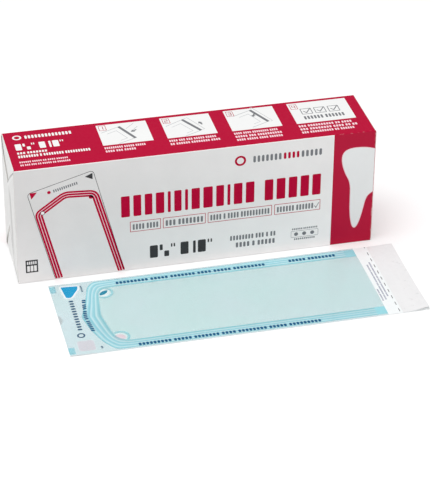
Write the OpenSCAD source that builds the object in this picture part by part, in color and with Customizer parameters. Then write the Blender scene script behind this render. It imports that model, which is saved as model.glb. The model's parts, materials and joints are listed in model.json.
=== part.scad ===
// Folding-board carton of self-seal sterilization pouches, with one pouch laid flat in front of it.
// Millimetres. X runs along the carton, the front faces -Y, +Z is up.
// The origin is the centre of the carton's base.

/* [Carton] */
// Length of the closed carton, end flap to end flap
carton_l = 267; // [264:1:320]
// Depth of the carton, front to back
carton_d = 56.2; // [55:0.2:80]
// Height of the carton
carton_h = 94.4; // [93:0.2:120]
// Thickness of the folding board
board_t = 0.45; // [0.35:0.05:0.5]
// Outer radius of the four long creases
crease_r = 0.8; // [0.6:0.05:1.2]
// Outer radius of the creases at the ends
end_crease_r = 0.4; // [0.2:0.05:0.4]

/* [End flaps] */
// Distance from an outer flap's corners to the carton's base and top
outer_relief = 1.2; // [1:0.1:2]
// Gap along the line where the two outer flaps meet
meeting_gap = 0.3; // [0.1:0.1:1]
// Distance of that line behind the middle of the carton's depth
meeting_y = 8; // [0:0.5:8]
// Drop of the sloping edges at an outer flap's free corners
outer_chamfer = 27.5; // [10:0.5:30]
// Length of an inner flap
inner_l = 33; // [20:1:34]
// Setback of an inner flap's sides at its crease
inner_setback = 1; // [0.8:0.1:2]
// Taper of an inner flap's sides, per unit of its length
inner_taper = 0.5; // [0.5:0.01:0.55]
// Gap between the inner and the outer flaps, which the hot melt bridges
flap_gap = 0.15; // [0.12:0.01:0.3]
// Radius of a spot of hot melt
spot_r = 1.5; // [1:0.1:1.6]
// Thickness of a spot of hot melt
spot_t = 0.1; // [0.05:0.01:0.1]

/* [Side seam] */
// Width of the glue flap inside the back panel
glue_flap_w = 14; // [10:1:20]
// Thickness of the seam adhesive
seam_t = 0.05; // [0.02:0.01:0.1]

/* [Stack in the carton] */
// Thickness of the stack of pouches, which stands on its long edges
stack_t = 47.4; // [10:0.2:48]
// Space left between the stack and the glue flap
stack_back_gap = 0.1; // [0.05:0.05:1]

/* [Pouch] */
// Overall length of a pouch, with its flap
pouch_l = 260; // [200:1:262]
// Width of a pouch
pouch_w = 90; // [60:1:90]
// Thickness of the paper
paper_t = 0.12; // [0.08:0.01:0.2]
// Thickness of the film
film_t = 0.08; // [0.05:0.01:0.12]
// Space between the film and the paper inside the seal
pocket_t = 0.03; // [0.02:0.01:0.1]
// Distance of the film's open edge from the closed end
film_l = 229.5; // [190:0.5:232]
// Distance of the perforated fold from the closed end
fold_at = 239.5; // [195:0.5:242]
// Radius of the arc of the thumb notch in the paper's closed end
notch_r = 9; // [6:0.5:12]
// Depth of the thumb notch
notch_depth = 2.5; // [1:0.5:6]

/* [Seal and indicators] */
// Inset of the side seals' outer edge
seal_out = 1.5; // [0.5:0.5:3]
// Inset of the side seals' inner edge
seal_in = 11; // [6:0.5:12]
// Thickness of a patch of indicator ink
ink_t = 0.02; // [0.01:0.01:0.03]

/* [Adhesive flap] */
// Thickness of the adhesive strip
adhesive_t = 0.05; // [0.03:0.01:0.1]
// Thickness of the release liner
liner_t = 0.1; // [0.05:0.01:0.15]
// Width of the adhesive strip
adhesive_w = 14; // [6:1:16]

/* [Placement] */
// Position of the pouch's closed far corner along the carton
pouch_x = -113; // [-130:1:0]
// Position of the pouch's far edge, in front of the carton's centre
pouch_y = -36.5; // [-80:0.5:-35]

/* [Hidden] */
$fn = 48;

half_l = carton_l / 2;
half_d = carton_d / 2;
// Where the walls stop short of the outer flaps, and of the inner flaps
wall_end = half_l - board_t - 0.02;
lid_end = half_l - 2 * board_t - flap_gap - 0.02;
// Crease line of the inner flaps
inner_x = half_l - board_t - flap_gap;
front_w = half_d + meeting_y - meeting_gap / 2;
back_w = half_d - meeting_y - meeting_gap / 2;
inner_root = half_d - inner_setback;
stack_back = half_d - 2 * board_t - seam_t - stack_back_gap;
film_z = paper_t + pocket_t;

// Cross-section of the carton's tube: a rounded ring in the plane of depth and height
module rounded_box_2d(d, h, r) {
    union() {
        translate([-d / 2 + r, -h / 2]) square([d - 2 * r, h]);
        translate([-d / 2, -h / 2 + r]) square([d, h - 2 * r]);
        for (sx = [-1, 1], sy = [-1, 1])
            translate([sx * (d / 2 - r), sy * (h / 2 - r)]) circle(r = r);
    }
}

module tube_2d() {
    difference() {
        rounded_box_2d(carton_d, carton_h, crease_r);
        rounded_box_2d(carton_d - 2 * board_t, carton_h - 2 * board_t, crease_r - board_t);
    }
}

// A sector of the tube, cut at 45 degrees through its creases: 0 top, 1 back, 2 bottom, 3 front
module wall_2d(side) {
    a = carton_d / 2;
    b = carton_h / 2;
    k = 4;
    pts = side == 0 ? [[-a, b], [-a + k, b - k], [a - k, b - k], [a, b]]
        : side == 1 ? [[a, b], [a - k, b - k], [a - k, -b + k], [a, -b]]
        : side == 2 ? [[a, -b], [a - k, -b + k], [-a + k, -b + k], [-a, -b]]
        : [[-a, -b], [-a + k, -b + k], [-a + k, b - k], [-a, b]];
    intersection() {
        tube_2d();
        polygon(pts);
    }
}

module wall(side, reach) {
    translate([-reach, 0, carton_h / 2])
        rotate([90, 0, 90])
            linear_extrude(height = 2 * reach) wall_2d(side);
}

module front_panel() { color([0.86, 0.87, 0.87]) wall(3, wall_end); }
module back_panel() { color([0.86, 0.87, 0.87]) wall(1, wall_end); }
module top_panel() { color([0.78, 0.05, 0.25]) wall(0, lid_end); }
module bottom_panel() { color([0.93, 0.93, 0.92]) wall(2, lid_end); }

// The glue flap runs up inside the back panel from the bottom panel's back edge
module glue_flap() {
    color([0.92, 0.92, 0.9])
        translate([-131, half_d - 2 * board_t - seam_t, crease_r + 0.4])
            cube([262, board_t, glue_flap_w]);
}

module seam_adhesive() {
    color([0.95, 0.9, 0.7])
        translate([-129, half_d - board_t - seam_t, crease_r + 2.4])
            cube([258, seam_t, glue_flap_w - 4]);
}

// Outer flap, closed at the +X end, hinged on the front: its crease is at [half_l, -half_d]
module outer_flap(w) {
    z0 = outer_relief;
    z1 = carton_h - outer_relief;
    intersection() {
        translate([half_l - board_t, -half_d, 0])
            rotate([90, 0, 90])
                linear_extrude(height = board_t)
                    polygon([[0.02, z0], [w, z0 + outer_chamfer], [w, z1 - outer_chamfer], [0.02, z1]]);
        linear_extrude(height = carton_h)
            union() {
                translate([half_l - board_t - 1, -half_d + end_crease_r]) square([board_t + 1, half_d * 2]);
                translate([half_l - board_t - 1, -half_d]) square([board_t + 1 - end_crease_r, half_d]);
                translate([half_l - end_crease_r, -half_d + end_crease_r]) circle(r = end_crease_r);
            }
    }
}

// Inner flap, closed at the +X end, hanging from the top: its crease is at [inner_x, carton_h]
module inner_flap() {
    r = end_crease_r;
    tip = inner_root - inner_taper * inner_l;
    intersection() {
        translate([inner_x - board_t, 0, carton_h])
            rotate([90, 0, 90])
                linear_extrude(height = board_t)
                    polygon([[-inner_root, -0.02], [inner_root, -0.02], [tip, -inner_l], [-tip, -inner_l]]);
        translate([0, half_d, 0])
            rotate([90, 0, 0])
                linear_extrude(height = carton_d)
                    union() {
                        translate([inner_x - board_t - 1, 0]) square([board_t + 1, carton_h - r]);
                        translate([inner_x - board_t - 1, 0]) square([board_t + 1 - r, carton_h]);
                        translate([inner_x - r, carton_h - r]) circle(r = r);
                    }
    }
}

module bottom_side() { translate([0, 0, carton_h]) mirror([0, 0, 1]) children(); }

module right_outer_flap_front() { color([0.95, 0.95, 0.94]) outer_flap(front_w); }
module right_outer_flap_back() { color([0.95, 0.95, 0.94]) mirror([0, 1, 0]) outer_flap(back_w); }
module left_outer_flap_front() { color([0.95, 0.95, 0.94]) mirror([1, 0, 0]) outer_flap(front_w); }
module left_outer_flap_back() { color([0.95, 0.95, 0.94]) mirror([1, 0, 0]) mirror([0, 1, 0]) outer_flap(back_w); }
module right_inner_flap_top() { color([0.93, 0.93, 0.91]) inner_flap(); }
module right_inner_flap_bottom() { color([0.93, 0.93, 0.91]) bottom_side() inner_flap(); }
module left_inner_flap_top() { color([0.93, 0.93, 0.91]) mirror([1, 0, 0]) inner_flap(); }
module left_inner_flap_bottom() { color([0.93, 0.93, 0.91]) mirror([1, 0, 0]) bottom_side() inner_flap(); }

// Two spots of hot melt on the outer face of an inner flap
module hot_melt() {
    for (s = [[-8, 27], [10.1, 30]])
        translate([inner_x, s[0], carton_h - s[1]])
            rotate([0, 90, 0])
                cylinder(r = spot_r, h = spot_t);
}
module right_hot_melt_top() { color([0.96, 0.93, 0.8]) hot_melt(); }
module right_hot_melt_bottom() { color([0.96, 0.93, 0.8]) bottom_side() hot_melt(); }
module left_hot_melt_top() { color([0.96, 0.93, 0.8]) mirror([1, 0, 0]) hot_melt(); }
module left_hot_melt_bottom() { color([0.96, 0.93, 0.8]) mirror([1, 0, 0]) bottom_side() hot_melt(); }

// The rest of the pouches, packed on their long edges
module pouch_stack() {
    color([0.88, 0.93, 0.94])
        translate([-pouch_l / 2, stack_back - stack_t, board_t])
            cube([pouch_l, stack_t, pouch_w]);
}

// The loose pouch: u runs from its closed end to its flap, v from its far edge to its near edge
module at_pouch() {
    translate([pouch_x, pouch_y, 0]) mirror([0, 1, 0]) children();
}

module pouch_paper() {
    color([0.95, 0.96, 0.96])
        at_pouch()
            linear_extrude(height = paper_t)
                difference() {
                    square([fold_at - 0.1, pouch_w]);
                    translate([notch_depth - notch_r, pouch_w / 2]) circle(r = notch_r);
                }
}

// Outline of the heat seal: two side bands joined by a chevron with rounded shoulders
module seal_2d() {
    w = pouch_w;
    difference() {
        union() {
            translate([26, seal_out]) square([film_l - 26, w - 2 * seal_out]);
            polygon([[32, seal_out], [28, 3], [22, 27], [17.5, w / 2], [22, w - 27], [28, w - 3], [32, w - seal_out]]);
        }
        union() {
            translate([44, seal_in]) square([film_l - 44 + 1, w - 2 * seal_in]);
            polygon([[44, seal_in], [39, seal_in], [33, 17], [31, 30], [28.5, w / 2], [31, w - 30], [33, w - 17], [39, w - seal_in], [44, w - seal_in]]);
        }
    }
}

// The film lies over the paper, joined to it only along the seal
module pouch_film() {
    color([0.62, 0.86, 0.9, 0.6])
        at_pouch()
            union() {
                translate([0, 0, film_z]) cube([film_l, pouch_w, film_t]);
                translate([0, 0, paper_t])
                    linear_extrude(height = pocket_t + film_t) seal_2d();
            }
}

module ink() { at_pouch() translate([0, 0, paper_t]) linear_extrude(height = ink_t) children(); }

module steam_indicator_inside() {
    color([0.1, 0.5, 0.75])
        ink() translate([37.5, 17.5]) rotate([0, 0, -40])
            intersection() {
                translate([0, 3.2]) circle(r = 5);
                translate([0, -3.2]) circle(r = 5);
            }
}

module steam_indicator_outside() {
    color([0.05, 0.6, 0.82])
        ink() polygon([[8.4, 3.8], [20.4, 4.5], [19.7, 8.6], [13.4, 18], [10.3, 17.8]]);
}

module gas_indicator_inside() {
    color([0.93, 0.85, 0.87])
        ink() translate([39.5, 72.8]) circle(r = 3.6);
}

module gas_indicator_outside() {
    color([0.93, 0.87, 0.89])
        ink() translate([7.5, 73.5]) square([11.6, 12.4]);
}

module pouch_flap() {
    color([0.95, 0.96, 0.96])
        at_pouch() translate([fold_at + 0.1, 0, 0]) cube([pouch_l - fold_at - 0.1, pouch_w, paper_t]);
}

module adhesive_strip() {
    color([0.9, 0.9, 0.82])
        at_pouch() translate([fold_at + 3, 1, paper_t]) cube([adhesive_w, pouch_w - 2, adhesive_t]);
}

module release_liner() {
    color([0.96, 0.96, 0.96])
        at_pouch() translate([fold_at + 0.8, 0, paper_t + adhesive_t]) cube([pouch_l - fold_at - 0.8, pouch_w, liner_t]);
}

front_panel();
back_panel();
top_panel();
bottom_panel();
glue_flap();
seam_adhesive();
left_outer_flap_front();
left_outer_flap_back();
left_inner_flap_top();
left_inner_flap_bottom();
right_outer_flap_front();
right_outer_flap_back();
right_inner_flap_top();
right_inner_flap_bottom();
left_hot_melt_top();
left_hot_melt_bottom();
right_hot_melt_top();
right_hot_melt_bottom();
pouch_stack();
pouch_paper();
pouch_film();
steam_indicator_inside();
steam_indicator_outside();
gas_indicator_inside();
gas_indicator_outside();
pouch_flap();
adhesive_strip();
release_liner();
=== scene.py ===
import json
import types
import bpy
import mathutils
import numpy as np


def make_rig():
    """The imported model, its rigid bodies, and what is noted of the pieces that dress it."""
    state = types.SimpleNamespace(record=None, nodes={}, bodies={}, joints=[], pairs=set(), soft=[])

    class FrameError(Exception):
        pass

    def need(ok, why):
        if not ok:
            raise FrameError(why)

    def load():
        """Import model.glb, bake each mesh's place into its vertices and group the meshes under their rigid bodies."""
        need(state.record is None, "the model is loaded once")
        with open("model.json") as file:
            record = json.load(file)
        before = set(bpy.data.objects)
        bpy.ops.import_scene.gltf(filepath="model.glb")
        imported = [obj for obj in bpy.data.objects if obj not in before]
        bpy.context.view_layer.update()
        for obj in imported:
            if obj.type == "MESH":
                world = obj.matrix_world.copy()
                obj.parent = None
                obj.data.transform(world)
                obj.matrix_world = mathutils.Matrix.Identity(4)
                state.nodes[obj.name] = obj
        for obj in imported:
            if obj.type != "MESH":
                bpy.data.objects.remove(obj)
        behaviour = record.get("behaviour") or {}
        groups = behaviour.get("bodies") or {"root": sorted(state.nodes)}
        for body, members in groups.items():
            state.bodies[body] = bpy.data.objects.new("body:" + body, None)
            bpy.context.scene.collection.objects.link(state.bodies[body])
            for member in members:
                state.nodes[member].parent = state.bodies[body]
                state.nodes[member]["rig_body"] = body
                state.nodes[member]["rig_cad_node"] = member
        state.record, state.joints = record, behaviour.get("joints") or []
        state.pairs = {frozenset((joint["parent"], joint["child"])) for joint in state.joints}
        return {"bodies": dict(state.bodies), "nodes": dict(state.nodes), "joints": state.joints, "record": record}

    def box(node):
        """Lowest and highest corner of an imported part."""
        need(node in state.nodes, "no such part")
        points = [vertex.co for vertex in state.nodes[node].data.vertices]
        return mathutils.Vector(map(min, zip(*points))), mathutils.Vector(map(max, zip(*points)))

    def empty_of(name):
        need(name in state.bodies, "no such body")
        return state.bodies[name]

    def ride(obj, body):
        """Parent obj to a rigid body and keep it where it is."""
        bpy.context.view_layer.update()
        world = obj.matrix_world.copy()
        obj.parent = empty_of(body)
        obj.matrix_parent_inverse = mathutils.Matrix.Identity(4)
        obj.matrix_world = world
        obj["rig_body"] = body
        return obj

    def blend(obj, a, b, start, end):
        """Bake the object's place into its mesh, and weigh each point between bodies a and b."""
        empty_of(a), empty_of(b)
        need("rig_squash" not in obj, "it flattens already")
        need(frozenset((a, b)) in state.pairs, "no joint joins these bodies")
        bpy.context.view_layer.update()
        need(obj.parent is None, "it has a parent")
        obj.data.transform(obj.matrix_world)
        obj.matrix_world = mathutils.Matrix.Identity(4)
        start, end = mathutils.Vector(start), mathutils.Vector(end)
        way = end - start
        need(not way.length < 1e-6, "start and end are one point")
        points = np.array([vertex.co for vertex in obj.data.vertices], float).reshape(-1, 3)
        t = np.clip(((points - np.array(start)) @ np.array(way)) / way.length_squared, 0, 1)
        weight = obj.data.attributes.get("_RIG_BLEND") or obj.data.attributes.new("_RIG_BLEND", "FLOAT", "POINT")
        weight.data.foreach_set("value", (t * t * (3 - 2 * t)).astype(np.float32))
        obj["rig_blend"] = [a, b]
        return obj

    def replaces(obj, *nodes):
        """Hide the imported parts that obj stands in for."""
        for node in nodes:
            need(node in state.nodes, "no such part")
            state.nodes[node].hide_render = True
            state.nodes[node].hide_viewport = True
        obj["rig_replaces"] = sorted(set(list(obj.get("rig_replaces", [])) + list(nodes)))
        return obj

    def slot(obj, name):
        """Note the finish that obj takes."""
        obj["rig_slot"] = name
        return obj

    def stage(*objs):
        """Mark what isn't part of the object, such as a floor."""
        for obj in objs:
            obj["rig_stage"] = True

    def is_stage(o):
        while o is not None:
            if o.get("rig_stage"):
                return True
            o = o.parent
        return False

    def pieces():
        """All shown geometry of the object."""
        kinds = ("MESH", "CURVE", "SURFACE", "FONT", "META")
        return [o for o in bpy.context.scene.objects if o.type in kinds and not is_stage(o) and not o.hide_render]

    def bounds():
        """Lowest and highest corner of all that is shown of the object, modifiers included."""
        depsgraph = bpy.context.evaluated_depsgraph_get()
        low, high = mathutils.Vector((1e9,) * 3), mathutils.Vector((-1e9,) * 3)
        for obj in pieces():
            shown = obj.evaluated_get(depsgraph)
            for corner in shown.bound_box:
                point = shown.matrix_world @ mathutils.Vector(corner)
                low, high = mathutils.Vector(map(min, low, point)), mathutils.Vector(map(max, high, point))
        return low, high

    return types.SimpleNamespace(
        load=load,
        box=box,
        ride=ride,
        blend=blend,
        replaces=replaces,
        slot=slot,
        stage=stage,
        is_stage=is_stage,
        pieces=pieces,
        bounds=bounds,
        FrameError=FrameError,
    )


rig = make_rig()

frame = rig.load()

import json
import math
import random

import bmesh
import bpy
from mathutils import Matrix, Vector
from mathutils.geometry import tessellate_polygon

CAD_LO, CAD_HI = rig.bounds()
rng = random.Random(7)

# ---------------------------------------------------------------- sizes, from the CAD frame, in millimetres
MM = 0.001


def box_mm(node):
    lo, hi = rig.box(node)
    return [c / MM for c in lo], [c / MM for c in hi]


f_lo, f_hi = box_mm("front_panel")
o_lo, o_hi = box_mm("right_outer_flap_front")
i_lo, i_hi = box_mm("right_inner_flap_top")
p_lo, p_hi = box_mm("pouch_paper")
pf_lo, pf_hi = box_mm("pouch_flap")
film_lo, film_hi = box_mm("pouch_film")
st_lo, st_hi = box_mm("pouch_stack")
HL = o_hi[0]  # half length of the carton
HD = -o_lo[1]  # half depth
HD = round(HD + 0.0, 3)
H = f_hi[2] + 0.0
b_hi = box_mm("top_panel")[1]
H = b_hi[2]
T = o_hi[0] - o_lo[0]  # board thickness
IX = i_hi[0]  # crease line of the inner flaps
HD = box_mm("back_panel")[1][1]
PX, PY = p_lo[0], p_hi[1]  # closed far corner of the loose pouch
PT = p_hi[2]  # paper thickness
PW = p_hi[1] - p_lo[1]
FOLD = pf_lo[0] - PX - 0.1
PL = pf_hi[0] - PX
FILM_L = film_hi[0] - PX

# ---------------------------------------------------------------- camera
cam_data = bpy.data.cameras.new("camera")
cam = bpy.data.objects.new("camera", cam_data)
bpy.context.scene.collection.objects.link(cam)
cam_data.sensor_width = 36.0
cam_data.lens = 2100.0 * 36.0 / 495.0
cam_data.clip_start = 0.05
cam_data.clip_end = 40.0
right = Vector((0.971926, -0.235186, 0.006820))
up = Vector((0.120085, 0.520768, 0.845210))
back = Vector((-0.202333, -0.820663, 0.534391))
rot = Matrix((right, up, back)).transposed().to_4x4()
cam.matrix_world = Matrix.Translation(Vector((-0.298028, -1.297695, 0.837084))) @ rot
bpy.context.scene.camera = cam
bpy.context.scene.view_settings.view_transform = "Standard"


# ---------------------------------------------------------------- small maths
def clamp(x, a=0.0, b=1.0):
    return a if x < a else b if x > b else x


def sstep(a, b, x):
    t = clamp((x - a) / (b - a))
    return t * t * (3 - 2 * t)


def gauss(x, s):
    return math.exp(-(x / s) ** 2)


def lin(r, g, b):
    """A display colour, 0 to 255, as scene-linear."""
    out = []
    for c in (r, g, b):
        c /= 255.0
        out.append(c / 12.92 if c <= 0.04045 else ((c + 0.055) / 1.055) ** 2.4)
    return (out[0], out[1], out[2], 1.0)


# ---------------------------------------------------------------- materials
def new_mat(name):
    m = bpy.data.materials.new(name)
    m.use_nodes = True
    nt = m.node_tree
    nt.nodes.clear()
    out = nt.nodes.new("ShaderNodeOutputMaterial")
    b = nt.nodes.new("ShaderNodeBsdfPrincipled")
    nt.links.new(b.outputs["BSDF"], out.inputs["Surface"])
    return m, nt, b


def mk(nt, kind, **values):
    n = nt.nodes.new(kind)
    for k, v in values.items():
        if k.startswith("_"):
            setattr(n, k[1:], v)
    return n


def put(nt, n, key, v):
    if isinstance(v, bpy.types.NodeSocket):
        nt.links.new(v, n.inputs[key])
    else:
        n.inputs[key].default_value = v


def coords(nt):
    return mk(nt, "ShaderNodeTexCoord").outputs["Object"]


def noise(nt, vec, scale, detail=3.0, rough=0.55, stretch=None):
    if stretch is not None:
        mp = mk(nt, "ShaderNodeMapping")
        put(nt, mp, "Vector", vec)
        mp.inputs["Scale"].default_value = stretch
        vec = mp.outputs["Vector"]
    n = mk(nt, "ShaderNodeTexNoise")
    put(nt, n, "Vector", vec)
    n.inputs["Scale"].default_value = scale
    n.inputs["Detail"].default_value = detail
    n.inputs["Roughness"].default_value = rough
    return n.outputs["Fac"]


def math_node(nt, op, a, b=0.0, c=0.0, clamp_=False):
    n = mk(nt, "ShaderNodeMath", _operation=op, _use_clamp=clamp_)
    put(nt, n, 0, a)
    put(nt, n, 1, b)
    put(nt, n, 2, c)
    return n.outputs[0]


def maprange(nt, v, a, b, c, d, smooth=False):
    n = mk(nt, "ShaderNodeMapRange")
    if smooth:
        n.interpolation_type = "SMOOTHSTEP"
    put(nt, n, "Value", v)
    put(nt, n, "From Min", a)
    put(nt, n, "From Max", b)
    put(nt, n, "To Min", c)
    put(nt, n, "To Max", d)
    return n.outputs["Result"]


def mixc(nt, fac, a, b, mode="MIX"):
    n = mk(nt, "ShaderNodeMix", _data_type="RGBA", _blend_type=mode)
    put(nt, n, 0, fac)
    put(nt, n, 6, a)
    put(nt, n, 7, b)
    return n.outputs[2]


def scale_rgb(nt, col, fac):
    """col times a grey factor socket."""
    g = mk(nt, "ShaderNodeCombineColor")
    for k in range(3):
        put(nt, g, k, fac)
    return mixc(nt, 1.0, col, g.outputs[0], "MULTIPLY")


def sep(nt, vec):
    n = mk(nt, "ShaderNodeSeparateXYZ")
    put(nt, n, 0, vec)
    return n.outputs


def bump(nt, height, strength, dist, normal=None):
    n = mk(nt, "ShaderNodeBump")
    put(nt, n, "Height", height)
    n.inputs["Strength"].default_value = strength
    n.inputs["Distance"].default_value = dist
    if normal is not None:
        put(nt, n, "Normal", normal)
    return n.outputs["Normal"]


def board_finish(nt, b, colour, rough=(0.36, 0.5), grain=1.0, coat=0.10, mottle=0.025, spec=0.32):
    """Coated folding board: soft mottle, fine fibre relief and a thin clear varnish."""
    v = coords(nt)
    big = noise(nt, v, 45, 3)
    mid = noise(nt, v, 420, 4)
    fine = noise(nt, v, 2600, 3, 0.6)
    k = maprange(nt, big, 0.3, 0.7, 1.0 - mottle, 1.0 + mottle * 0.6)
    k2 = maprange(nt, fine, 0.25, 0.75, 1.0 - mottle * 0.8, 1.0 + mottle * 0.4)
    put(nt, b, "Base Color", scale_rgb(nt, colour, math_node(nt, "MULTIPLY", k, k2)))
    put(nt, b, "Roughness", maprange(nt, mid, 0.3, 0.7, rough[0], rough[1]))
    b.inputs["Coat Weight"].default_value = coat
    b.inputs["Coat Roughness"].default_value = 0.22
    b.inputs["Specular IOR Level"].default_value = spec
    n1 = bump(nt, mid, 0.10 * grain, 0.00012)
    n2 = bump(nt, fine, 0.16 * grain, 0.00004, n1)
    put(nt, b, "Normal", n2)


RED = lin(181, 0, 52)
FIELD = (0.825, 0.805, 0.80, 1.0)
WHITE = (0.90, 0.90, 0.895, 1.0)
GREY_IN = (0.66, 0.645, 0.61, 1.0)


def raw_core(nt, v):
    """Colour of the uncoated inner side and cut edges: greyish fibres with specks."""
    fib = noise(nt, v, 700, 5, 0.7, (1.0, 1.0, 0.35))
    spk = noise(nt, v, 1800, 2, 0.5)
    c = mixc(nt, maprange(nt, fib, 0.3, 0.7, 0.0, 1.0), (0.60, 0.585, 0.55, 1), (0.74, 0.725, 0.69, 1))
    return mixc(nt, maprange(nt, spk, 0.66, 0.74, 0.0, 0.5), c, (0.36, 0.33, 0.29, 1))


def panel_mat(name, side):
    """Printed board of one wall. side is front, back, top or bottom."""
    m, nt, b = new_mat(name)
    v = coords(nt)
    x, y, z = sep(nt, v)
    e = 0.35 * MM
    if side == "front":
        outer = math_node(nt, "LESS_THAN", y, -(HD * MM) + e)
    elif side == "back":
        outer = math_node(nt, "GREATER_THAN", y, HD * MM - e)
    elif side == "top":
        outer = math_node(nt, "GREATER_THAN", z, H * MM - e)
    else:
        outer = math_node(nt, "LESS_THAN", z, e)
    wob = noise(nt, v, 260, 4, 0.7)
    if side in ("front", "back"):
        sx = math_node(nt, "MULTIPLY", x, 1.0 if side == "front" else -1.0)
        # painted light: the field is painted lighter towards the base, as light bounced up from the floor, and darker
        # towards its left-hand end as seen from outside, as painted shade
        g = maprange(nt, z, 0.0, 0.060, 1.16, 1.0, True)
        g2 = maprange(nt, sx, -0.13, 0.09, 0.875, 1.03)
        field = scale_rgb(nt, FIELD, math_node(nt, "MULTIPLY", g, g2))
        edge_x = 101.6 * MM
        band = math_node(nt, "GREATER_THAN", sx, edge_x)
        rule = math_node(
            nt, "MAXIMUM",
            math_node(nt, "GREATER_THAN", sx, edge_x - 0.75 * MM),
            math_node(nt, "GREATER_THAN", z, (H - 0.75) * MM),
        )
        col = mixc(nt, rule, field, WHITE)
        col = mixc(nt, band, col, RED)
        hot = math_node(nt, "GREATER_THAN", z, (H - 0.22) * MM)
        col = mixc(nt, hot, col, RED)
        # ink rubbed off along the creases
        near = maprange(nt, z, (H - 0.9) * MM, (H - 0.1) * MM, 0.0, 1.0)
        near2 = maprange(nt, z, 0.9 * MM, 0.1 * MM, 0.0, 1.0)
        crease = math_node(nt, "MAXIMUM", near, near2)
    elif side == "top":
        col = mixc(nt, 0.0, RED, RED)
        ay = math_node(nt, "ABSOLUTE", y)
        crease = maprange(nt, ay, (HD - 0.7) * MM, HD * MM, 0.0, 1.0)
    else:
        col = mixc(nt, 0.0, WHITE, WHITE)
        ay = math_node(nt, "ABSOLUTE", y)
        crease = maprange(nt, ay, (HD - 0.7) * MM, HD * MM, 0.0, 0.6)
    ax = math_node(nt, "ABSOLUTE", x)
    ends = maprange(nt, ax, (HL - 1.3) * MM, (HL - 0.5) * MM, 0.0, 1.0)
    crease = math_node(nt, "MAXIMUM", crease, ends)
    rub = math_node(nt, "MULTIPLY", crease, maprange(nt, wob, 0.52, 0.68, 0.0, 0.55))
    col = mixc(nt, rub, col, (0.88, 0.80, 0.80, 1))
    col = mixc(nt, outer, raw_core(nt, v), col)
    board_finish(nt, b, col, coat=0.0 if side == "top" else 0.03, spec=0.06 if side == "top" else 0.15)
    return m


def plain_board(name, outer_colour, inner=True):
    """Board for the end flaps: faces are told apart by material slot, not by place."""
    m, nt, b = new_mat(name)
    v = coords(nt)
    col = mixc(nt, 0.0, outer_colour, outer_colour)
    board_finish(nt, b, col, mottle=0.02)
    return m


def end_board(name, y0, y1, z0, z1, drop, shade, dent):
    """White board of an outer flap, with light and shade painted into its colour: a painted shadow line along its
    sloping edges, a painted highlight just inside it, a painted shade groove along the line of the dent when dent is
    set, and one shade factor darkening the whole flap.
    """
    m, nt, b = new_mat(name)
    v = coords(nt)
    x, y, z = sep(nt, v)
    ym = math_node(nt, "MULTIPLY", y, 1000.0)
    zm = math_node(nt, "MULTIPLY", z, 1000.0)
    d = maprange(nt, ym, y0, y1, 0.0, drop)
    top = math_node(nt, "SUBTRACT", math_node(nt, "SUBTRACT", z1, d), zm)
    low = math_node(nt, "SUBTRACT", math_node(nt, "SUBTRACT", zm, z0), d)
    near = math_node(nt, "MINIMUM", top, low)
    wob = maprange(nt, noise(nt, v, 90, 3, 0.5), 0.3, 0.7, -0.25, 0.25)
    near = math_node(nt, "ADD", near, wob)
    # painted shadow: a thin dark line along the sloping edges, darkest on the front flap
    line = maprange(nt, near, 1.0, 2.0, 0.56 if dent else 0.8, 1.0, True)
    # painted highlight: a band a little inside that line is lightened by up to 9%
    rim = math_node(nt, "MULTIPLY", maprange(nt, near, 1.9, 2.6, 0.0, 1.0, True), maprange(nt, near, 3.2, 5.2, 1.0, 0.0, True))
    k = math_node(nt, "MULTIPLY", line, math_node(nt, "ADD", 1.0, math_node(nt, "MULTIPLY", rim, 0.09)))
    # painted shade: a soft dark groove painted along the line of the dent
    if dent:
        off = math_node(nt, "SUBTRACT", math_node(nt, "ADD", ym, 5.0), math_node(nt, "MULTIPLY", math_node(nt, "SUBTRACT", zm, 44.0), 0.16))
        g = math_node(nt, "EXPONENT", math_node(nt, "MULTIPLY", math_node(nt, "POWER", math_node(nt, "ABSOLUTE", off), 2.0), -1 / (2 * 4.6 ** 2)))
        g = math_node(nt, "MULTIPLY", g, maprange(nt, zm, 14.0, 26.0, 0.3, 1.0, True))
        g = math_node(nt, "MULTIPLY", g, maprange(nt, zm, 56.0, 68.0, 1.0, 0.0, True))
        k = math_node(nt, "MULTIPLY", k, math_node(nt, "SUBTRACT", 1.0, math_node(nt, "MULTIPLY", g, 0.34)))
    # painted shade: the whole flap darkened by one factor, more on the front flap than on the back
    k = math_node(nt, "MULTIPLY", k, shade)
    board_finish(nt, b, scale_rgb(nt, (0.80, 0.80, 0.79, 1), k), mottle=0.02)
    return m


def core_board(name, light=1.0):
    m, nt, b = new_mat(name)
    v = coords(nt)
    c = scale_rgb(nt, raw_core(nt, v), light)
    put(nt, b, "Base Color", c)
    fib = noise(nt, v, 900, 5, 0.7, (1.0, 1.0, 0.3))
    put(nt, b, "Roughness", maprange(nt, fib, 0.3, 0.7, 0.72, 0.92))
    put(nt, b, "Normal", bump(nt, fib, 0.35, 0.00006))
    return m


def ink_mat(name, colour, rough=(0.34, 0.48), mottle=0.04, coat=0.02, spec=0.14):
    """A printed solid: slightly uneven lay-down over the board's own relief, under the same varnish."""
    m, nt, b = new_mat(name)
    board_finish(nt, b, mixc(nt, 0.0, colour, colour), rough, 1.0, coat, mottle, spec)
    return m


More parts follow.
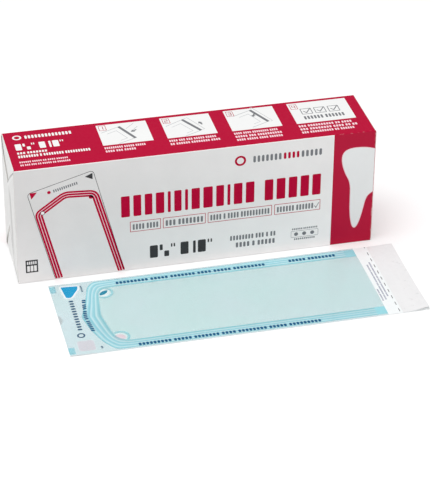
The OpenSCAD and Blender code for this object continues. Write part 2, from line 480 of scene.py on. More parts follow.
def paper_mat(name, colour, speck=0.03):
    """Medical paper: smooth machine-finished kraft with visible cloudy formation and fibres."""
    m, nt, b = new_mat(name)
    v = coords(nt)
    cloud = noise(nt, v, 170, 5, 0.65)
    fib = noise(nt, v, 1500, 4, 0.7, (0.35, 1.0, 1.0))
    k = math_node(
        nt, "MULTIPLY",
        maprange(nt, cloud, 0.3, 0.7, 1.0 - speck, 1.0 + 0.4 * speck),
        maprange(nt, fib, 0.3, 0.7, 1.0 - 0.6 * speck, 1.0),
    )
    put(nt, b, "Base Color", scale_rgb(nt, mixc(nt, 0.0, colour, colour), k))
    put(nt, b, "Roughness", maprange(nt, cloud, 0.3, 0.7, 0.58, 0.75))
    b.inputs["Specular IOR Level"].default_value = 0.3
    n1 = bump(nt, cloud, 0.12, 0.00018)
    put(nt, b, "Normal", bump(nt, fib, 0.25, 0.00003, n1))
    return m


def liner_mat(name):
    """Glassine release liner: calendered, faintly translucent and glossy."""
    m, nt, b = new_mat(name)
    v = coords(nt)
    cloud = noise(nt, v, 220, 4, 0.6)
    streak = noise(nt, v, 500, 3, 0.5, (1.0, 0.08, 1.0))
    base = (0.86, 0.862, 0.868, 1.0)
    k = math_node(
        nt, "MULTIPLY",
        maprange(nt, cloud, 0.3, 0.7, 0.975, 1.01),
        maprange(nt, streak, 0.3, 0.7, 0.985, 1.005),
    )
    put(nt, b, "Base Color", scale_rgb(nt, mixc(nt, 0.0, base, base), k))
    put(nt, b, "Roughness", maprange(nt, cloud, 0.3, 0.7, 0.26, 0.38))
    b.inputs["Coat Weight"].default_value = 0.35
    b.inputs["Coat Roughness"].default_value = 0.15
    put(nt, b, "Normal", bump(nt, streak, 0.10, 0.00006))
    return m


def glue_mat(name, colour, rough=0.3):
    m, nt, b = new_mat(name)
    v = coords(nt)
    n = noise(nt, v, 900, 3, 0.5)
    put(nt, b, "Base Color", scale_rgb(nt, mixc(nt, 0.0, colour, colour), maprange(nt, n, 0.3, 0.7, 0.94, 1.02)))
    put(nt, b, "Roughness", maprange(nt, n, 0.3, 0.7, rough * 0.7, rough * 1.3))
    b.inputs["Subsurface Weight"].default_value = 0.0
    b.inputs["Coat Weight"].default_value = 0.3
    put(nt, b, "Normal", bump(nt, n, 0.3, 0.0001))
    return m


M_FRONT = panel_mat("board_front", "front")
M_BACK = panel_mat("board_back", "back")
M_TOP = panel_mat("board_top", "top")
M_BOTTOM = panel_mat("board_bottom", "bottom")
M_FLAP_W = plain_board("flap_white", (0.80, 0.80, 0.79, 1))
M_FLAP_R = ink_mat("flap_red", RED, (0.36, 0.5), 0.02)
M_CORE = core_board("board_core", 1.0)
M_EDGE = core_board("board_edge", 1.16)
M_RED = ink_mat("ink_red", RED, coat=0.0, spec=0.06)
M_DARK = ink_mat("ink_dark", lin(58, 58, 60))
M_MIDGREY = ink_mat("ink_midgrey", lin(120, 122, 126))
M_LGREY = ink_mat("ink_lightgrey", lin(196, 198, 200))
M_WHITE = ink_mat("ink_white", (0.86, 0.865, 0.86, 1), mottle=0.015)
M_TOOTH = ink_mat("ink_tooth", (0.815, 0.82, 0.82, 1), mottle=0.015)
M_ROSE = ink_mat("ink_rose", lin(238, 205, 212))
M_PALE = ink_mat("ink_pale", lin(246, 214, 222), mottle=0.02)
M_NAVY = ink_mat("ink_navy", lin(0, 84, 126), mottle=0.05)
M_SLATE = ink_mat("ink_slate", lin(128, 130, 158), mottle=0.05)
M_PAPER = paper_mat("medical_paper", (0.905, 0.94, 0.945, 1))
M_LINER = liner_mat("release_liner_paper")
M_GLUE = glue_mat("hot_melt", (0.86, 0.80, 0.60, 1))
M_ADH = glue_mat("adhesive", (0.84, 0.83, 0.74, 1), 0.22)

for node, m in (
    ("front_panel", M_FRONT), ("back_panel", M_BACK), ("top_panel", M_TOP), ("bottom_panel", M_BOTTOM),
    ("glue_flap", M_CORE), ("seam_adhesive", M_GLUE),
):
    o = frame["nodes"][node]
    o.data.materials.clear()
    o.data.materials.append(m)


# ---------------------------------------------------------------- mesh makers
def finish_bm(bm, name, mats, body, slot=None, smooth=False, recalc=True):
    if recalc:
        bmesh.ops.recalc_face_normals(bm, faces=bm.faces)
    me = bpy.data.meshes.new(name)
    bm.to_mesh(me)
    bm.free()
    for m in mats:
        me.materials.append(m)
    if smooth:
        for p in me.polygons:
            p.use_smooth = True
    o = bpy.data.objects.new(name, me)
    bpy.context.scene.collection.objects.link(o)
    if body:
        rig.ride(o, body)
    if slot:
        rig.slot(o, slot)
    return o


class Print:
    """Ink on one face: flat shapes in that face's own millimetres, raised as thin solids by fmap(x, y, h)."""

    def __init__(self, name, body, slot, mat, fmap, h=0.03, depth=0.03, step=None, mirror=False):
        self.name, self.body, self.slot, self.mat = name, body, slot, mat
        self.fmap, self.h, self.depth, self.step = fmap, h, depth, step
        self.shapes = []

    def poly(self, outer, holes=()):
        self.shapes.append((list(outer), [list(q) for q in holes]))

    def rect(self, x0, y0, x1, y1, r=0.0, n=4):
        self.poly(rrect(x0, y0, x1, y1, r, n))

    def frame(self, x0, y0, x1, y1, w, r=0.0):
        self.poly(rrect(x0, y0, x1, y1, r), [rrect(x0 + w, y0 + w, x1 - w, y1 - w, max(0.0, r - w))])

    def disc(self, cx, cy, r, n=28):
        self.poly(circle_pts(cx, cy, r, n))

    def ring(self, cx, cy, r, w, n=32):
        self.poly(circle_pts(cx, cy, r, n), [circle_pts(cx, cy, r - w, n)])

    def stroke(self, pts, w, closed=False):
        if closed:
            a, b = offset_path(pts, w / 2, True), offset_path(pts, -w / 2, True)
            if abs(area(a)) < abs(area(b)):
                a, b = b, a
            self.poly(a, [b])
        else:
            a, b = offset_path(pts, w / 2), offset_path(pts, -w / 2)
            self.poly(a + b[::-1])

    def blocks(self, x0, x1, y0, y1, words, gap=0.22, letter=0.52, r=0.12, rot=None):
        """A line of type stood in by plain blocks: words is a list of block counts."""
        h = abs(y1 - y0)
        total = sum(w * (letter + gap) - gap for w in words) + 0.55 * (len(words) - 1)
        k = (x1 - x0) / total
        x = x0
        for w in words:
            for i in range(w):
                ww = letter * k
                pts = rrect(x, y0, x + ww, y1, min(r * h, ww * 0.45, h * 0.45), 2)
                if rot:
                    pts = [rot(q) for q in pts]
                self.poly(pts)
                x += (letter + gap) * k
            x += (0.55 - gap) * k

    def build(self):
        bm = bmesh.new()
        for outer, holes in self.shapes:
            loops = [[Vector((p[0], p[1], 0)) for p in q] for q in [outer] + holes]
            flat = [p for q in loops for p in q]
            tris = tessellate_polygon(loops)
            b2 = bmesh.new()
            vs = [b2.verts.new(p) for p in flat]
            for t in tris:
                try:
                    b2.faces.new([vs[i] for i in t])
                except ValueError:
                    pass
            if self.step:
                for _ in range(7):
                    long = [e for e in b2.edges if e.calc_length() > self.step]
                    if not long:
                        break
                    bmesh.ops.subdivide_edges(b2, edges=long, cuts=1)
                    bmesh.ops.triangulate(b2, faces=[f for f in b2.faces if len(f.verts) > 3])
            bmesh.ops.dissolve_degenerate(b2, dist=1e-4, edges=b2.edges[:])
            b2.verts.index_update()
            top = [bm.verts.new(self.fmap(v.co.x, v.co.y, self.h)) for v in b2.verts]
            low = [bm.verts.new(self.fmap(v.co.x, v.co.y, -self.depth)) for v in b2.verts]
            for f in b2.faces:
                ids = [v.index for v in f.verts]
                bm.faces.new([top[i] for i in ids])
                bm.faces.new([low[i] for i in reversed(ids)])
            for e in b2.edges:
                if len(e.link_faces) == 1:
                    i, j = e.verts[0].index, e.verts[1].index
                    bm.faces.new([top[i], top[j], low[j], low[i]])
            b2.free()
        return finish_bm(bm, self.name, [self.mat], self.body, self.slot)


def rrect(x0, y0, x1, y1, r=0.0, n=4):
    if r <= 1e-6:
        return [(x0, y0), (x1, y0), (x1, y1), (x0, y1)]
    out = []
    for cx, cy, a in ((x1 - r, y0 + r, -90), (x1 - r, y1 - r, 0), (x0 + r, y1 - r, 90), (x0 + r, y0 + r, 180)):
        for i in range(n + 1):
            t = math.radians(a + 90 * i / n)
            out.append((cx + r * math.cos(t), cy + r * math.sin(t)))
    return out


def circle_pts(cx, cy, r, n=28):
    return [(cx + r * math.cos(2 * math.pi * i / n), cy + r * math.sin(2 * math.pi * i / n)) for i in range(n)]


def area(p):
    return 0.5 * sum(p[i][0] * p[(i + 1) % len(p)][1] - p[(i + 1) % len(p)][0] * p[i][1] for i in range(len(p)))


def offset_path(pts, d, closed=False):
    out = []
    n = len(pts)
    for i in range(n):
        a = pts[(i - 1) % n] if closed or i > 0 else None
        c = pts[(i + 1) % n] if closed or i < n - 1 else None
        b = pts[i]
        ns = []
        for p, q in ((a, b), (b, c)):
            if p is None or q is None:
                continue
            dx, dy = q[0] - p[0], q[1] - p[1]
            l = math.hypot(dx, dy) or 1e-9
            ns.append((-dy / l, dx / l))
        if len(ns) == 1:
            nx, ny = ns[0]
            k = 1.0
        else:
            nx, ny = ns[0][0] + ns[1][0], ns[0][1] + ns[1][1]
            l = math.hypot(nx, ny) or 1e-9
            nx, ny = nx / l, ny / l
            k = min(1.0 / max(0.3, nx * ns[0][0] + ny * ns[0][1]), 2.5)
        out.append((b[0] + nx * d * k, b[1] + ny * d * k))
    return out


def round_path(pts, r, n=5, closed=False):
    """A polyline with its corners rounded by radius-like cut r (one value, or one per point)."""
    rs = r if isinstance(r, (list, tuple)) else [r] * len(pts)
    out = []
    m = len(pts)
    for i, b in enumerate(pts):
        if not closed and i in (0, m - 1):
            out.append(b)
            continue
        a, c = Vector((*pts[(i - 1) % m],)), Vector((*pts[(i + 1) % m],))
        bb = Vector((*b,))
        da, dc = (a - bb), (c - bb)
        ra = min(rs[i], da.length * 0.48, dc.length * 0.48)
        if ra < 1e-6:
            out.append(b)
            continue
        p, q = bb + da.normalized() * ra, bb + dc.normalized() * ra
        for k in range(n + 1):
            t = k / n
            s = p * (1 - t) ** 2 + bb * 2 * t * (1 - t) + q * t * t
            out.append((s.x, s.y))
    return out


def grid_slab(name, nu, nv, fn, mats, body, slot, faces=(0, 1, 2), smooth=True):
    """A thin closed sheet: fn(i, j, side) gives the outer (side 0) and inner (side 1) face's points in mm."""
    bm = bmesh.new()
    lay = [[[bm.verts.new(Vector(fn(i, j, s)) * MM) for j in range(nv)] for i in range(nu)] for s in (0, 1)]
    for s in (0, 1):
        for i in range(nu - 1):
            for j in range(nv - 1):
                q = [lay[s][i][j], lay[s][i + 1][j], lay[s][i + 1][j + 1], lay[s][i][j + 1]]
                f = bm.faces.new(q if s == 0 else q[::-1])
                f.material_index = faces[s]
    rim = [(i, 0) for i in range(nu)] + [(nu - 1, j) for j in range(1, nv)]
    rim += [(i, nv - 1) for i in range(nu - 2, -1, -1)] + [(0, j) for j in range(nv - 2, 0, -1)]
    for k in range(len(rim)):
        (i, j), (i2, j2) = rim[k], rim[(k + 1) % len(rim)]
        f = bm.faces.new([lay[0][i][j], lay[1][i][j], lay[1][i2][j2], lay[0][i2][j2]])
        f.material_index = faces[2]
    o = finish_bm(bm, name, mats, body, slot)
    if smooth:
        for p in o.data.polygons:
            p.use_smooth = p.material_index != faces[2] or faces[2] == faces[0]
        bm2 = bmesh.new()
        bm2.from_mesh(o.data)
        for e in bm2.edges:
            if len(e.link_faces) == 2 and e.calc_face_angle(0) > math.radians(40):
                e.smooth = False
        bm2.to_mesh(o.data)
        bm2.free()
    return o


# ---------------------------------------------------------------- end flaps
def spaced(stops, step):
    out = [stops[0]]
    for a, b in zip(stops, stops[1:]):
        n = max(1, int(math.ceil((b - a) / step)))
        out += [a + (b - a) * k / n for k in range(1, n + 1)]
    return out


R_END = 0.4
ow_lo, ow_hi = box_mm("right_outer_flap_front")
ob_lo, ob_hi = box_mm("right_outer_flap_back")
OZ0, OZ1 = ow_lo[2], ow_hi[2]
FLAP_W = {-1: ow_hi[1] - ow_lo[1], 1: ob_hi[1] - ob_lo[1]}
MEET = (ow_hi[1] + ob_lo[1]) / 2
OUT_CH = 27.5


def end_sink(y, z):
    """How far an end of the carton is pressed in: most along the line where the outer flaps meet, with a soft dent beside it."""
    d = abs(y - MEET) / (HD + MEET if y < MEET else HD - MEET)
    k = sstep(0.25, 1.0, 1 - d)
    mid = 0.85 * k * (0.35 + 0.65 * gauss(z - H / 2, 30))
    dent = 0.35 * gauss(y + 6.0 - 0.16 * (z - 44), 5.0) * sstep(14, 30, z) * (1 - sstep(58, 72, z))
    return mid + dent


# two copies of one white board: the front flap's copy is painted darker than the back flap's, as painted shade
M_END_FRONT = end_board("flap_white_front", -HD, MEET, OZ0, OZ1, OUT_CH, 0.93, True)
M_END_BACK = end_board("flap_white_back", HD, MEET, OZ0, OZ1, OUT_CH, 0.955, False)


def outer_flap_piece(sx, sy, node, body, mat):
    ow = FLAP_W[sy]
    s_line = [0.02, 0.05, 0.1, 0.17, 0.26, 0.4, 0.7, 1.2] + spaced([2.0, ow - 1.0, ow - 0.4, ow], 1.3)
    nz = 48

    def fn(i, j, side):
        s = s_line[i]
        k = clamp(s / ow)
        z0, z1 = OZ0 + OUT_CH * k, OZ1 - OUT_CH * k
        t = j / (nz - 1)
        z = z0 + (z1 - z0) * t
        # the flap bellies a little next to its crease, its sloping edges stand off, and its free edge sinks in
        belly = 0.28 * math.sin(math.pi * min(1.0, k * 1.7)) * (0.4 + 0.6 * gauss(z - H / 2, 34))
        near = min(z - z0, z1 - z)
        stand = (0.4 if sy < 0 else 0.0) * gauss(near, 3.0) * sstep(2.0, 9.0, s) * (1 - 0.5 * k)
        x = HL + belly + stand - end_sink(sy * (HD - s), z)
        if side == 0 and s < R_END:
            x -= R_END - math.sqrt(max(0.0, R_END ** 2 - (R_END - s) ** 2))
        if side == 1:
            x -= T
            if s < R_END:
                x = min(x, HL - T)
        return (sx * x, sy * (HD - s), z)

    o = grid_slab(node + "_board", len(s_line), nz, fn, [mat, M_CORE, M_EDGE], body, "board_flap")
    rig.replaces(o, node)
    return o


IN_ROOT = i_hi[1]
IN_L = i_hi[2] - i_lo[2]
IN_TAPER = 0.5


def in_sink(top):
    return 0.12 if top else -0.07


def inner_flap_piece(sx, top, node, body, mat):
    u_line = [0.02, 0.05, 0.1, 0.17, 0.26, 0.4, 0.7, 1.2] + spaced([2.0, IN_L - 0.6, IN_L], 2.0)
    nv = 26

    def fn(i, j, side):
        u = u_line[i]
        w = IN_ROOT - IN_TAPER * u
        t = j / (nv - 1) * 2 - 1
        c = 1.0 if u < IN_L - 2 else 1.0 - 0.16 * ((u - IN_L + 2) / 2) ** 2 * abs(t)
        y = w * t * c
        # pushed in a little further than the outer flaps, so that their sloping edges stand clear
        zz = H - u if top else u
        x = IX - 0.03 * sstep(0, 6, u) - end_sink(y, zz) * sstep(0.0, 10.0, u) - in_sink(top) * sstep(4.0, 14.0, u) * gauss(y - 1.0, 15)
        if side == 0 and u < R_END:
            x -= R_END - math.sqrt(max(0.0, R_END ** 2 - (R_END - u) ** 2))
        if side == 1:
            x -= T
        z = H - u if top else u
        return (sx * x, y, z)

    o = grid_slab(node + "_board", len(u_line), nv, fn, [mat, M_CORE, M_EDGE], body, "board_flap")
    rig.replaces(o, node)
    return o


def crease_strip(name, body_a, body_b, p_wall, p_corner, p_flap, along0, along1, axis, mat):
    """Scored board that bends between a wall and its flap: a thin strip that blends across the joint."""
    n = 12
    bm = bmesh.new()
    a, c, b = Vector(p_wall), Vector(p_corner), Vector(p_flap)
    rows = []
    th = 0.22
    for k in range(n + 1):
        t = k / n
        p = a * (1 - t) ** 2 + c * 2 * t * (1 - t) + b * t * t
        d = (c - a) * (1 - t) + (b - c) * t
        nrm = Vector((-d.y, d.x)).normalized()
        if nrm.dot(((a + b) / 2) - c) < 0:
            nrm = -nrm
        rows.append((p, p + nrm * th))
    m_al = 24
    layers = []
    for q in range(m_al + 1):
        w = along0 + (along1 - along0) * q / m_al
        row = []
        for p, pi in rows:
            row.append([bm.verts.new((Vector((p2.x, p2.y, w)) if axis == "z" else Vector((p2.x, w, p2.y))) * MM) for p2 in (p, pi)])
        layers.append(row)
    for q in range(m_al):
        for k in range(n):
            A, B, C, D = layers[q][k], layers[q][k + 1], layers[q + 1][k + 1], layers[q + 1][k]
            bm.faces.new([A[0], B[0], C[0], D[0]])
            bm.faces.new([D[1], C[1], B[1], A[1]])
        bm.faces.new([layers[q][0][0], layers[q + 1][0][0], layers[q + 1][0][1], layers[q][0][1]])
        bm.faces.new([layers[q][n][1], layers[q + 1][n][1], layers[q + 1][n][0], layers[q][n][0]])
    for q in (0, m_al):
        for k in range(n):
            A, B = layers[q][k], layers[q][k + 1]
            bm.faces.new([A[0], A[1], B[1], B[0]])
    o = finish_bm(bm, name, [mat], None, "board_flap", smooth=True)
    to3 = (lambda p, w: Vector((p.x, p.y, w)) * MM) if axis == "z" else (lambda p, w: Vector((p.x, w, p.y)) * MM)
    mid = (along0 + along1) / 2
    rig.blend(o, body_a, body_b, to3(a, mid), to3(b, mid))
    return o


for side, sx in (("left", -1), ("right", 1)):
    face = M_FLAP_W if side == "left" else M_FLAP_R
    for where, sy in (("front", -1), ("back", 1)):
        board = face if side == "right" else (M_END_FRONT if where == "front" else M_END_BACK)
        outer_flap_piece(sx, sy, f"{side}_outer_flap_{where}", f"{side}_{where}_flap", board)
        e = 0.12
        crease_strip(
            f"{side}_{where}_crease", "carton", f"{side}_{where}_flap",
            (sx * (HL - 0.95), sy * (HD - e)), (sx * (HL - e), sy * (HD - e)), (sx * (HL - e), sy * (HD - 0.8)),
            OZ0 + 0.4, OZ1 - 0.4, "z", face,
        )
    for where, top in (("top", True), ("bottom", False)):
        inner_flap_piece(sx, top, f"{side}_inner_flap_{where}", f"{side}_{where}_flap", M_FLAP_W)
        zz = (lambda d: H - d) if top else (lambda d: d)
        crease_strip(
            f"{side}_{where}_crease", "carton", f"{side}_{where}_flap",
            (sx * (IX - 0.95), zz(0.12)), (sx * (IX - 0.12), zz(0.12)), (sx * (IX - 0.12), zz(0.8)),
            -(IN_ROOT - 0.6), IN_ROOT - 0.6, "y", M_RED if top else M_FLAP_W,
        )


# ---------------------------------------------------------------- hot melt
def melt_base(y, z, down, top):
    """Surface of the inner flap under a spot, measured from the plane of its crease."""
    return -0.03 - end_sink(y, z) * sstep(0.0, 10.0, down) - in_sink(top) * sstep(4.0, 14.0, down) * gauss(y - 1.0, 15)


def melt_piece(sx, top, node, body):
    """Two pressed spots of hot melt, each an irregular lens with a small tail."""
    bm = bmesh.new()
    for yc, down in ((-8.0, 27.0), (10.1, 30.0)):
        zc = H - down if top else down
        off = melt_base(yc, zc, down, top)
        rings, n = 5, 36
        ph = rng.uniform(0, 6.28)
        prev = None
        centre = [bm.verts.new(Vector((sx * (IX + off + 0.115), yc, zc)) * MM), bm.verts.new(Vector((sx * (IX + off - 0.15), yc, zc)) * MM)]
        rad = [1.5 * (1 + 0.10 * math.sin(3 * a + ph) + 0.06 * math.sin(5 * a + 2 * ph)) for a in [2 * math.pi * i / n for i in range(n)]]
        rad = [min(r, 1.5) + (0.6 * gauss(((2 * math.pi * i / n) - 4.4), 0.22)) for i, r in enumerate(rad)]
        for q in range(1, rings + 1):
            f = q / rings
            row = [[], []]
            for i in range(n):
                a = 2 * math.pi * i / n
                y, z = yc + rad[i] * f * math.cos(a), zc + rad[i] * f * math.sin(a)
                off = melt_base(y, z, H - z if top else z, top)
                h = 0.115 * math.sqrt(max(0.0, 1 - f ** 4))
                row[0].append(bm.verts.new(Vector((sx * (IX + off + h if q < rings else IX + off - 0.1), y, z)) * MM))
                if q == rings:
                    row[1] = row[0]
                else:
                    row[1].append(bm.verts.new(Vector((sx * (IX + off - 0.15), y, z)) * MM))
            for i in range(n):
                j = (i + 1) % n
                for sd in (0, 1):
                    if prev is None:
                        bm.faces.new([centre[sd], row[sd][i], row[sd][j]])
                    else:
                        bm.faces.new([prev[sd][i], row[sd][i], row[sd][j], prev[sd][j]])
            prev = row
    o = finish_bm(bm, node + "_beads", [M_GLUE], body, "hot_melt", smooth=True)
    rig.replaces(o, node)


for side, sx in (("left", -1), ("right", 1)):
    for where, top in (("top", True), ("bottom", False)):
        melt_piece(sx, top, f"{side}_hot_melt_{where}", f"{side}_{where}_flap")


# ---------------------------------------------------------------- stack of pouches in the carton
def stack_mats():
    m1, nt, b = new_mat("stack_paper")
    v = coords(nt)
    n = noise(nt, v, 900, 4, 0.6)
    row = noise(nt, v, 3000, 2, 0.5, (0.02, 1.0, 0.02))
    c = (0.88, 0.89, 0.885, 1)
    k = math_node(nt, "MULTIPLY", maprange(nt, n, 0.3, 0.7, 0.95, 1.01), maprange(nt, row, 0.3, 0.7, 0.86, 1.02))
    put(nt, b, "Base Color", scale_rgb(nt, mixc(nt, 0.0, c, c), k))
    put(nt, b, "Roughness", maprange(nt, n, 0.3, 0.7, 0.6, 0.8))
    put(nt, b, "Normal", bump(nt, n, 0.2, 0.00004))
    m2, nt, b = new_mat("stack_film")
    v = coords(nt)
    n = noise(nt, v, 700, 3, 0.5)
    c = lin(150, 205, 218)
    put(nt, b, "Base Color", scale_rgb(nt, mixc(nt, 0.0, c, c), maprange(nt, n, 0.3, 0.7, 0.92, 1.03)))
    put(nt, b, "Roughness", maprange(nt, n, 0.3, 0.7, 0.12, 0.22))
    b.inputs["Coat Weight"].default_value = 0.5
    b.inputs["Coat Roughness"].default_value = 0.08
    put(nt, b, "Normal", bump(nt, n, 0.1, 0.0001))
    return m1, m2


M_SP, M_SF = stack_mats()


def stack_piece():
    bm = bmesh.new()
    n = 188
    y0, y1 = st_lo[1], st_hi[1]
    pitch = (y1 - y0) / n
    segs = 10
    local = random.Random(11)

    def slab(xa, xb, ya, yb, za, zb, lean, wave, mi):
        rows = []
        for q in range(segs + 1):
            x = xa + (xb - xa) * q / segs
            dy = wave * math.sin(3.1 * (x - xa) / (xb - xa) * math.pi)
            rows.append([
                bm.verts.new(Vector((x, ya + dy, za)) * MM), bm.verts.new(Vector((x, yb + dy, za)) * MM),
                bm.verts.new(Vector((x, yb + dy - lean, zb)) * MM), bm.verts.new(Vector((x, ya + dy - lean, zb)) * MM),
            ])
        for a, c in zip(rows, rows[1:]):
            for k in range(4):
                f = bm.faces.new([a[k], c[k], c[(k + 1) % 4], a[(k + 1) % 4]])
                f.material_index = mi
        for r in (rows[0], rows[-1]):
            f = bm.faces.new(r)
            f.material_index = mi

    for i in range(n):
        ya = y0 + i * pitch
        dx = local.gauss(0, 0.25)
        dx = max(-0.5, min(0.5, dx)) + 0.25 * math.sin(i * 0.11)
        dz = abs(local.gauss(0, 0.25))
        lean = 0.0
        if i < 9:
            lean = 1.6 * (1 - i / 9) ** 1.5
        xa, xb = st_lo[0] + dx, st_hi[0] + dx
        za, zb = st_lo[2] + 0.05 + dz, st_hi[2] + dz - 0.1
        slab(xa, xb, ya + 0.03, ya + 0.03 + 0.115, za, zb, lean, 0.0, 0)
        slab(xa + 0.2, xa + 229.0, ya - 0.085 + 0.03, ya + 0.03 - 0.012, za + 0.1, zb - 0.1, lean, 0.0, 1)
        slab(xb - 19.5, xb - 0.1, ya - 0.085 + 0.03, ya + 0.03 - 0.012, za, zb, lean, 0.0, 0)
    o = finish_bm(bm, "packed_pouches", [M_SP, M_SF], "carton", "pouch_stack", recalc=True)
    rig.replaces(o, "pouch_stack")


stack_piece()

# ---------------------------------------------------------------- print on the walls
def on_front(x, y, h):
    return Vector((-HL + x, -HD - h, H - y)) * MM


def on_back(x, y, h):
    return Vector((HL - x, HD + h, H - y)) * MM


def on_top(x, y, h):
    return Vector((-HL + x, HD - y, H + h)) * MM


HEAD = (
    (76.9, [6.4, 5.8, 5.6, 6.2, 2.2, 5.4, 2.2, 6.2, 7.0, 5.8, 2.2, 6.4, 6.4], 175.8),
    (183.6, [6.4, 6.6, 6.4, 6.4, 6.4], 226.0),
)


def tooth_outline():
    """A plain one-rooted tooth seen from the side, cut off by the panel's edge."""
    e = 266.4
    pts = [(e, 15.4), (259.5, 13.6), (252.5, 13.0), (247.0, 13.6), (243.4, 15.8), (242.0, 20.0), (242.6, 26.0), (244.8, 33.0),
           (247.8, 39.5), (249.1, 46.0), (249.3, 55.0), (249.5, 64.0), (250.2, 72.0), (251.5, 78.4), (253.3, 80.8),
           (255.2, 78.6), (257.3, 72.5), (259.0, 65.0), (260.4, 58.5), (262.5, 54.0), (e, 51.0)]
    return smooth_curve(pts)


def smooth_curve(pts, n=5):
    out = []
    m = len(pts)
    for i in range(m - 1):
        p0, p1, p2, p3 = pts[max(0, i - 1)], pts[i], pts[i + 1], pts[min(m - 1, i + 2)]
        for k in range(n):
            t = k / n
            out.append(tuple(
                0.5 * (2 * p1[d] + (p2[d] - p0[d]) * t + (2 * p0[d] - 5 * p1[d] + 4 * p2[d] - p3[d]) * t * t
                       + (3 * p1[d] - p0[d] - 3 * p2[d] + p3[d]) * t ** 3)
                for d in (0, 1)))
    out.append(pts[-1])
    return out


def wall_print(tag, fmap):
    red = Print(tag + "_print_red", "carton", "ink_red", M_RED, fmap)
    dark = Print(tag + "_print_dark", "carton", "ink_grey", M_DARK, fmap)
    mid = Print(tag + "_print_grey", "carton", "ink_grey", M_MIDGREY, fmap)
    white = Print(tag + "_print_white", "carton", "ink_white", M_WHITE, fmap, h=0.05)
    tooth = Print(tag + "_tooth", "carton", "board_print", M_TOOTH, fmap, h=0.045)
    rose = Print(tag + "_tooth_edge", "carton", "ink_white", M_ROSE, fmap)
    # heading, as plain blocks
    for x0, widths, x1 in HEAD:
        gap = (x1 - x0 - sum(widths)) / (len(widths) - 1)
        x = x0
        for w in widths:
            red.rect(x, 31.0, x + w, 48.5, 0.8)
            x += w + gap
    # four outlined tags with small type
    for x0, x1, words in ((83.2, 106, [4, 4]), (107.6, 139.4, [3, 7]), (141, 189.4, [4, 1, 4, 10]), (191.2, 226.2, [6, 6])):
        red.frame(x0, 52.9, x1, 61.7, 0.42, 0.3)
        end = x1 - 2.0 - (3.4 if x0 > 190 else 0)
        mid.blocks(x0 + 2.0, end, 55.2, 60.0, words, gap=0.26, letter=0.4)
    mid.stroke([(221.8, 57.8), (222.9, 59.6), (225.2, 55.2)], 0.5)
    # size line
    size_line(dark, 97.6, 144.4, 75.4, 86.0)
    mid.blocks(158, 192.4, 75.6, 79.6, [8, 3, 1, 2], gap=0.26, letter=0.4)
    mid.blocks(162.4, 192.0, 81.8, 86.0, [4, 1, 5], gap=0.26, letter=0.4)
    # small boxed row of plain dots
    mid.frame(204.4, 78.0, 225.4, 83.6, 0.25, 0.8)
    for cx in (208.4, 214.6, 220.8):
        mid.disc(cx, 80.8, 1.55, 20)
    mid.blocks(205.2, 224.6, 75.6, 77.0, [6, 8], gap=0.3)
    mid.blocks(207.0, 222.8, 84.4, 85.8, [11], gap=0.3)
    # count badge: dark square, light blocks
    holes = []
    for k in range(5):
        holes.append(rrect(7.0 + 1.5 * k, 76.4, 8.0 + 1.5 * k, 78.9, 0.15, 2))
    for k in range(3):
        holes.append(rrect(7.0 + 2.5 * k, 80.0, 9.0 + 2.5 * k, 84.8, 0.4, 2))
    dark.poly([(6.0, 75.2), (15.0, 75.2), (15.0, 85.8), (6.0, 85.8)], holes)
    # plain mark and word
    red.ring(165.0, 12.6, 4.2, 1.6)
    mid.blocks(174.6, 195.6, 9.8, 15.2, [7], gap=0.3, letter=0.42, r=0.3)
    red.blocks(197.4, 209.0, 9.8, 15.2, [4], gap=0.3, letter=0.42, r=0.3)
    mid.blocks(210.8, 226.0, 9.8, 15.2, [5], gap=0.3, letter=0.42, r=0.3)
    # drawing of a pouch, cropped by the bottom edge
    yb = H - 0.9
    out_line = round_path([(27.2, yb), (9.4, 19.9), (57.2, 6.4), (78.4, yb)], [0, 3.0, 3.0, 0], 7)
    dark.stroke(out_line, 0.36)
    red.poly(round_path([(11.2, 19.4), (16.6, 19.2), (12.4, 24.6)], 0.5, 3, True))
    dark.poly(round_path([(51.2, 10.9), (56.8, 8.4), (56.8, 13.6)], 0.5, 3, True))
    band = round_path([(30.2, yb), (16.9, 37.6), (36.4, 23.8), (58.0, 25.2), (76.2, yb)], [0, 2.6, 3.4, 4.0, 0], 7)
    cut = [offset_path(band, d) for d in (-2.7, -1.25, -0.75, 0.75, 1.25, 2.7)]
    for a, b in ((0, 1), (2, 3), (4, 5)):
        red.poly([clip_y(p, yb) for p in cut[a]] + [clip_y(p, yb) for p in cut[b]][::-1])
    for a, b in ((1, 2), (3, 4)):
        rose.poly([clip_y(p, yb) for p in cut[a]] + [clip_y(p, yb) for p in cut[b]][::-1])
    white.disc(20.0, 36.9, 1.3)
    mid.ring(20.0, 36.9, 1.7, 0.35)
    red.disc(55.2, 28.0, 1.6)
    ang = math.radians(-14.8)

    def tilt(p, c=(34.5, 18.0)):
        dx, dy = p[0] - c[0], p[1] - c[1]
        return (c[0] + dx * math.cos(ang) - dy * math.sin(ang), c[1] + dx * math.sin(ang) + dy * math.cos(ang))

    mid.blocks(28.0, 46.0, 17.0, 19.4, [12], gap=0.3, letter=0.42, r=0.2, rot=tilt)
    red.poly([tilt(p) for p in circle_pts(24.8, 18.0, 1.3, 18)])
    # tooth at the end of the band
    t = tooth_outline()
    tooth.poly(t + [])
    edge = t
    a, b = offset_path(edge, 0.55), edge
    if sum(p[0] for p in a) > sum(p[0] for p in b):
        a = offset_path(edge, -0.55)
    rose.poly([(min(p[0], 266.4), p[1]) for p in a] + [(p[0], p[1]) for p in b[::-1]])
    return [p.build() for p in (red, dark, mid, white, tooth, rose)]


def clip_y(p, y):
    return (p[0], min(p[1], y))




